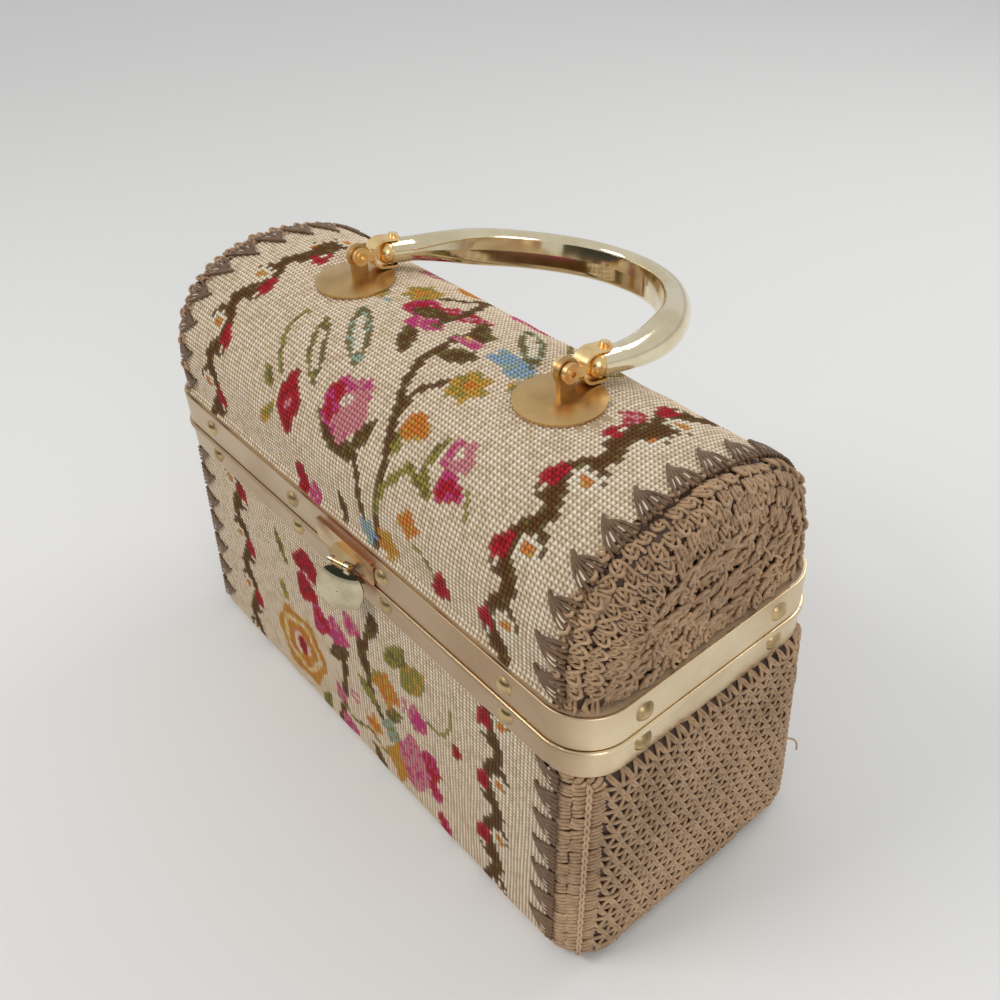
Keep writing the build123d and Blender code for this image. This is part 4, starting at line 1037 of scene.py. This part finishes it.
for side, place in ((-1, "left"), (1, "right")):
    rim_curls, inner_curls = lid_rim_curls(side), lid_inner_curls(side)
    form = bmesh.new()
    form.from_mesh(rim_curls)
    form.from_mesh(inner_curls)
    crochet = made(f"lid_crochet_cord_{place}", as_mesh(form, "lid_curls"), brown_cord, "lid")
    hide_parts(f"lid_crochet_{place}")
    lid_felt(side, place)
    print("lid crochet", place, len(crochet.data.polygons), "faces")

# %% [markdown]
# ## The edge stitches
# Where the crochet meets the tapestry, the maker sewed fans of five or six long stitches that run
# together in a point on the tapestry, with small ivory loops between them. Each fan is a few curves
# in the flat cloth's own directions, laid on the same surfaces as the crochet.

# %% Sew the fans
fan_cord, picot_cord, strands_in_fan = 0.00062, 0.0005, 6
lid_fan_start, lid_fan_pitch, box_fan_start, box_fan_pitch = 0.0075, 0.0134, 0.0175, 0.0138


def fan(middle):
    """Strands of one fan, as (across, along, height): the point is out on the tapestry."""
    strands = []
    for k in range(strands_in_fan):
        root = -0.0056 + 0.0022 * k
        point = (-0.0078 + 0.0004 * k, middle + 0.0034 - 0.0004 * k, 0.0002)
        crest = (-0.0034, middle + 0.0026 + (root - 0.0022) * 0.6, 0.0016)
        strands.append([point, crest, (0.0044, middle + root, 0.0004)])
    return strands


def picots(middle):
    """Three small loops between two fans."""
    loops = []
    for start in (-0.0038, -0.0016, 0.0028):
        first = (-0.0026, middle + 0.0012 + start * 0.55, 0.0004)
        crest = (-0.0008, middle + 0.0006 + start * 0.8, 0.0013)
        loops.append([first, crest, (0.0016, middle + start, 0.0006)])
    return loops


def sew(name, middles, lay, body):
    kinds = (("fans", fan, fan_cord, edge_cord), ("picots", picots, picot_cord, ivory_cord))
    for label, shape, radius, material in kinds:
        flat = drawn([run for middle in middles for run in shape(middle)], radius, steps=3)
        points = points_of(flat)
        set_points(flat, lay(points[:, 0], points[:, 1], points[:, 2]))
        made(f"{name}_{label}", flat, material, body)


lid_fans = np.arange(lid_fan_start, lid_line.length - 0.004, lid_fan_pitch)
side_fans = np.arange(box_fan_start, end_height, box_fan_pitch)
for side, place in ((-1, "left"), (1, "right")):
    sew(f"lid_edge_{place}", lid_fans, lambda a, b, h: round_lid_end(side, b, a, h), "lid")
    sew(f"front_edge_{place}", side_fans, lambda a, b, h: round_box_end(side, a, b, h), "box")
    sew(f"back_edge_{place}", side_fans, lambda a, b, h: round_box_end(side, end_length - a, b, h), "box")
    print("fans", place, len(lid_fans), "on the lid,", 2 * len(side_fans), "on the box")

# %% [markdown]
# ## Linings and the bottom
# Inside, a plain cotton lining covers the board, and a dark cloth covers the underside. They are
# simple shells, so a box with its top taken off and its upright and floor edges bevelled is enough
# for the lower one, and a strip read onto a smaller arch, closed at both ends, for the lid.

# %% Make the linings and the bottom cloth
thread_size, lining_wall = 0.0009, 0.0007


def cloth_uv(mesh):
    """A map in threads, laid on each face from its nearest side."""
    layer = mesh.uv_layers.new(name="stitches")
    places = points_of(mesh)[corner_points(mesh)]
    normals = np.zeros(len(mesh.polygons) * 3)
    mesh.polygons.foreach_get("normal", normals)
    counts = np.zeros(len(mesh.polygons), int)
    mesh.polygons.foreach_get("loop_total", counts)
    axis = np.repeat(np.abs(normals.reshape(-1, 3)).argmax(1), counts)
    first = np.where(axis == 0, places[:, 1], places[:, 0])
    second = np.where(axis == 2, places[:, 1], places[:, 2])
    layer.data.foreach_set("uv", (np.stack([first, second], 1) / thread_size).ravel())


def lining(name, mesh, material, body, cad_node):
    thing = made(name, mesh, material, body)
    cloth_uv(mesh)
    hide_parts(cad_node)
    return thing


def give_wall(thing):
    wall = thing.modifiers.new("wall", "SOLIDIFY")
    wall.thickness = lining_wall
    wall.offset = -1


def face_inward(form):
    bmesh.ops.recalc_face_normals(form, faces=form.faces)
    bmesh.ops.reverse_faces(form, faces=form.faces)


form = bmesh.new()
bmesh.ops.create_cube(form, size=1)
top = [f for f in form.faces if f.normal.z > 0.9]
bmesh.ops.delete(form, geom=top, context="FACES_ONLY")
upright_edges = [e for e in form.edges if abs(e.verts[0].co.z - e.verts[1].co.z) > 0.5]
low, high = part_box("base_lining")
floor_half, mouth_half = (0.1319, 0.0571), (0.1304, 0.0509)
for v in form.verts:
    half_x, half_y = floor_half if v.co.z < 0 else mouth_half
    z = low.z + 0.0008 if v.co.z < 0 else high.z
    v.co = (np.sign(v.co.x) * half_x, np.sign(v.co.y) * half_y, z)
bevel = {"affect": "EDGES", "profile": 0.5, "material": -1}
bmesh.ops.bevel(form, geom=upright_edges, offset=0.0125, segments=8, **bevel)
floor_edges = [e for e in form.edges if max(v.co.z for v in e.verts) < low.z + 0.002]
bmesh.ops.bevel(form, geom=floor_edges, offset=0.0018, segments=3, **bevel)
face_inward(form)
box_cloth = as_mesh(form, "box_lining_cloth")
box_lining = lining("box_lining_cloth", box_cloth, lining_cloth, "box", "base_lining")
give_wall(box_lining)

form = bmesh.new()
bmesh.ops.create_grid(form, x_segments=30, y_segments=60, size=0.5)
inner_arch = arch(0.0051)
lid_lining_half = 0.1243
for v in form.verts:
    y, z, _, _ = inner_arch.read(np.array([(v.co.y + 0.5) * inner_arch.length]))
    v.co = (v.co.x * 2 * lid_lining_half, y[0], z[0])
low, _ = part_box("lid_lining")
skirt = [v for v in form.verts if v.co.z < lid_foot + 0.0001]
for v in skirt:
    v.co.z = low.z
for end in (-1, 1):
    rim = [e for e in form.edges if e.is_boundary and all(v.co.x * end > 0.124 for v in e.verts)]
    bmesh.ops.contextual_create(form, geom=rim)
face_inward(form)
lid_cloth = as_mesh(form, "lid_lining_cloth")
lid_lining = lining("lid_lining_cloth", lid_cloth, lining_cloth, "lid", "lid_lining")
give_wall(lid_lining)

form = bmesh.new()
bmesh.ops.create_grid(form, x_segments=40, y_segments=20, size=0.5)
bottom_length, bottom_depth, bottom_z = 0.2396, 0.1106, 0.0004
for v in form.verts:
    v.co = (v.co.x * bottom_length, v.co.y * bottom_depth, bottom_z)
bmesh.ops.reverse_faces(form, faces=form.faces)
base_cloth = as_mesh(form, "bottom_cloth")
bottom = lining("bottom_cloth", base_cloth, bottom_cotton, "box", "base_bottom_cloth")
for piece in (box_lining, lid_lining, bottom):
    print(piece.name, len(piece.data.polygons), "faces")

# %% [markdown]
# ## Metal finishes
# The fittings are brass in several states: pale satin gold bands with fingermarks and a duller
# film, a bright gold handle and brushed plates. The bands' front face is a darker brown, partly
# tarnish and partly a painted reflection of the dim ground in front, and a coppery patch by the
# clasp is a painted reflection of the flowers and the hasp. One group makes the wear, from a broad
# stain, small specks and a brushed grain, and each material gives it its own colours and grain.

# %% Make the wear group and the metals
wear, wear_in, wear_out = new_group(
    "metal_wear",
    [
        ("Place", "Vector", None),
        ("Grain place", "Vector", None),
        ("Colour", "Color", (1, 1, 1, 1)),
        ("Film", "Color", (0.5, 0.5, 0.5, 1)),
        ("Film size", "Float", 30.0),
        ("Smooth", "Float", 0.2),
        ("Rough", "Float", 0.45),
    ],
    [("Colour", "Color", None), ("Roughness", "Float", None), ("Height", "Float", None)],
)
stain = noise(wear, wear_in.outputs["Place"], wear_in.outputs["Film size"], 5.0)
specks = noise(wear, wear_in.outputs["Place"], 900.0, 2.0)
grain = noise(wear, wear_in.outputs["Grain place"], 1.0, 3.0)
film = maths(wear, "MULTIPLY", ranged(wear, stain, 0.42, 0.68), 0.8)
speck = maths(wear, "MULTIPLY", ranged(wear, specks, 0.66, 0.74), 0.5)
dirt = maths(wear, "MAXIMUM", film, speck)
tinted = mix_colour(wear, dirt, wear_in.outputs["Colour"], wear_in.outputs["Film"])
wear.links.new(tinted, wear_out.inputs["Colour"])
spread = maths(wear, "SUBTRACT", wear_in.outputs["Rough"], wear_in.outputs["Smooth"])
uneven = maths(wear, "ADD", maths(wear, "MULTIPLY", dirt, 0.7), maths(wear, "MULTIPLY", grain, 0.3))
roughness = maths(wear, "ADD", wear_in.outputs["Smooth"], maths(wear, "MULTIPLY", spread, uneven))
wear.links.new(roughness, wear_out.inputs["Roughness"])
wear.links.new(grain, wear_out.inputs["Height"])


def metal(name, colour, film_colour, smooth, rough, film_size, grain_scale, bump, patch=None):
    material, tree, shader = new_material(name, {"Metallic": 1.0})
    place = node(tree, "TexCoord").outputs["Object"]
    brushed = node(tree, "Mapping", {"Vector": place}, {"Scale": grain_scale})
    values = {"Colour": rgba(*colour), "Film": rgba(*film_colour), "Film size": film_size}
    values.update({"Smooth": smooth, "Rough": rough})
    links = {"Place": place, "Grain place": brushed.outputs[0]}
    group = node(tree, "Group", links, values, node_tree=wear)
    result = group.outputs["Colour"]
    if patch:
        result = patch(tree, place, result)
    tree.links.new(result, shader.inputs["Base Color"])
    tree.links.new(group.outputs["Roughness"], shader.inputs["Roughness"])
    raise_surface(tree, shader, group.outputs["Height"], bump, 0.0002)
    return material


def tarnish_and_painted_reflections(tree, place, under):
    """A darker brown front face, partly tarnish and partly a painted reflection of the dim ground in front,
    and a coppery patch round the clasp, a painted reflection of the flowers and the hasp.
    """
    clasp = (0.012, -0.0585, 0.124)
    away = node(tree, "VectorMath", {0: place}, {1: clasp}, operation="DISTANCE")
    ragged = maths(tree, "MULTIPLY", noise(tree, place, 160.0, 4.0), 0.012)
    shifted = maths(tree, "ADD", away.outputs["Value"], ragged)
    depth = node(tree, "SeparateXYZ", {0: place}).outputs[1]
    # Painted reflection, partly tarnish: the band's front face turns a darker brown.
    front_tarnish_and_reflection = mix_colour(tree, ranged(tree, depth, -0.061, -0.05, 0.9, 0.0), under, rgba(150, 116, 82))
    # Painted reflection: a coppery patch round the clasp, where the flowers and the hasp show in the band.
    return mix_colour(tree, ranged(tree, shifted, 0.021, 0.027, 0.85, 0.0), front_tarnish_and_reflection, rgba(150, 92, 62))


# Each metal: colour, colour of its film, smoothest and roughest, size of the film's stains,
# scale of the grain along x, y and z, and how far the grain stands up.
pale_gold = metal(
    "pale_gold", (240, 220, 184), (206, 180, 144), 0.24, 0.46, 24, (70, 70, 1500), 0.1, tarnish_and_painted_reflections
)
rivet_brass = metal("rivet_brass", (206, 178, 130), (120, 98, 70), 0.2, 0.5, 160, (300, 300, 300), 0.1)
bright_gold = metal("bright_gold", (240, 226, 192), (222, 204, 166), 0.05, 0.16, 60, (900, 120, 120), 0.03)
fitting_brass = metal(
    "fitting_brass", (252, 222, 164), (228, 178, 112), 0.2, 0.42, 140, (500, 500, 500), 0.08
)
plate_brass = metal("plate_brass", (218, 180, 122), (176, 140, 92), 0.24, 0.42, 45, (500, 60, 60), 0.2)
hinge_brass = metal("hinge_brass", (196, 170, 124), (130, 104, 74), 0.26, 0.5, 90, (60, 60, 900), 0.15)
copper_brass = metal("coppered_brass", (206, 178, 132), (150, 98, 66), 0.2, 0.42, 70, (200, 200, 900), 0.12)
mirror_gold = metal("mirror_gold", (214, 202, 172), (180, 164, 130), 0.03, 0.12, 120, (120, 120, 120), 0.02)
bead_gold = metal("bead_gold", (236, 200, 120), (170, 126, 64), 0.1, 0.3, 200, (400, 400, 400), 0.05)
steel = metal("spring_steel", (150, 146, 138), (100, 94, 86), 0.3, 0.55, 120, (900, 200, 200), 0.15)
board = cord_material("pressed_board", (172, 148, 116), (146, 122, 94), 0.4)

finishes = {
    "base_band": pale_gold,
    "lid_band": pale_gold,
    "base_rivets": rivet_brass,
    "lid_rivets": rivet_brass,
    "hasp_plate": copper_brass,
    "hasp_pin": bead_gold,
    "clasp_disc": mirror_gold,
    "clasp_disc_rivet": mirror_gold,
    "clasp_spring": steel,
    "clasp_stud": rivet_brass,
    "plate_washers": steel,
    "plate_nuts": rivet_brass,
    "handle_tube": bright_gold,
    "base_shell": board,
    "lid_shell": board,
}
finished = 0
for name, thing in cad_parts.items():
    material = finishes.get(name)
    if name.startswith("hinge"):
        material = hinge_brass
    if name.startswith("handle_plate"):
        material = plate_brass
    if name.startswith(("clevis", "tube_plug", "cross_pin", "handle_pin")):
        material = fitting_brass
    if material:
        finished += 1
        for slot in thing.material_slots:
            slot.material = material
print("nodes with a new finish:", finished)
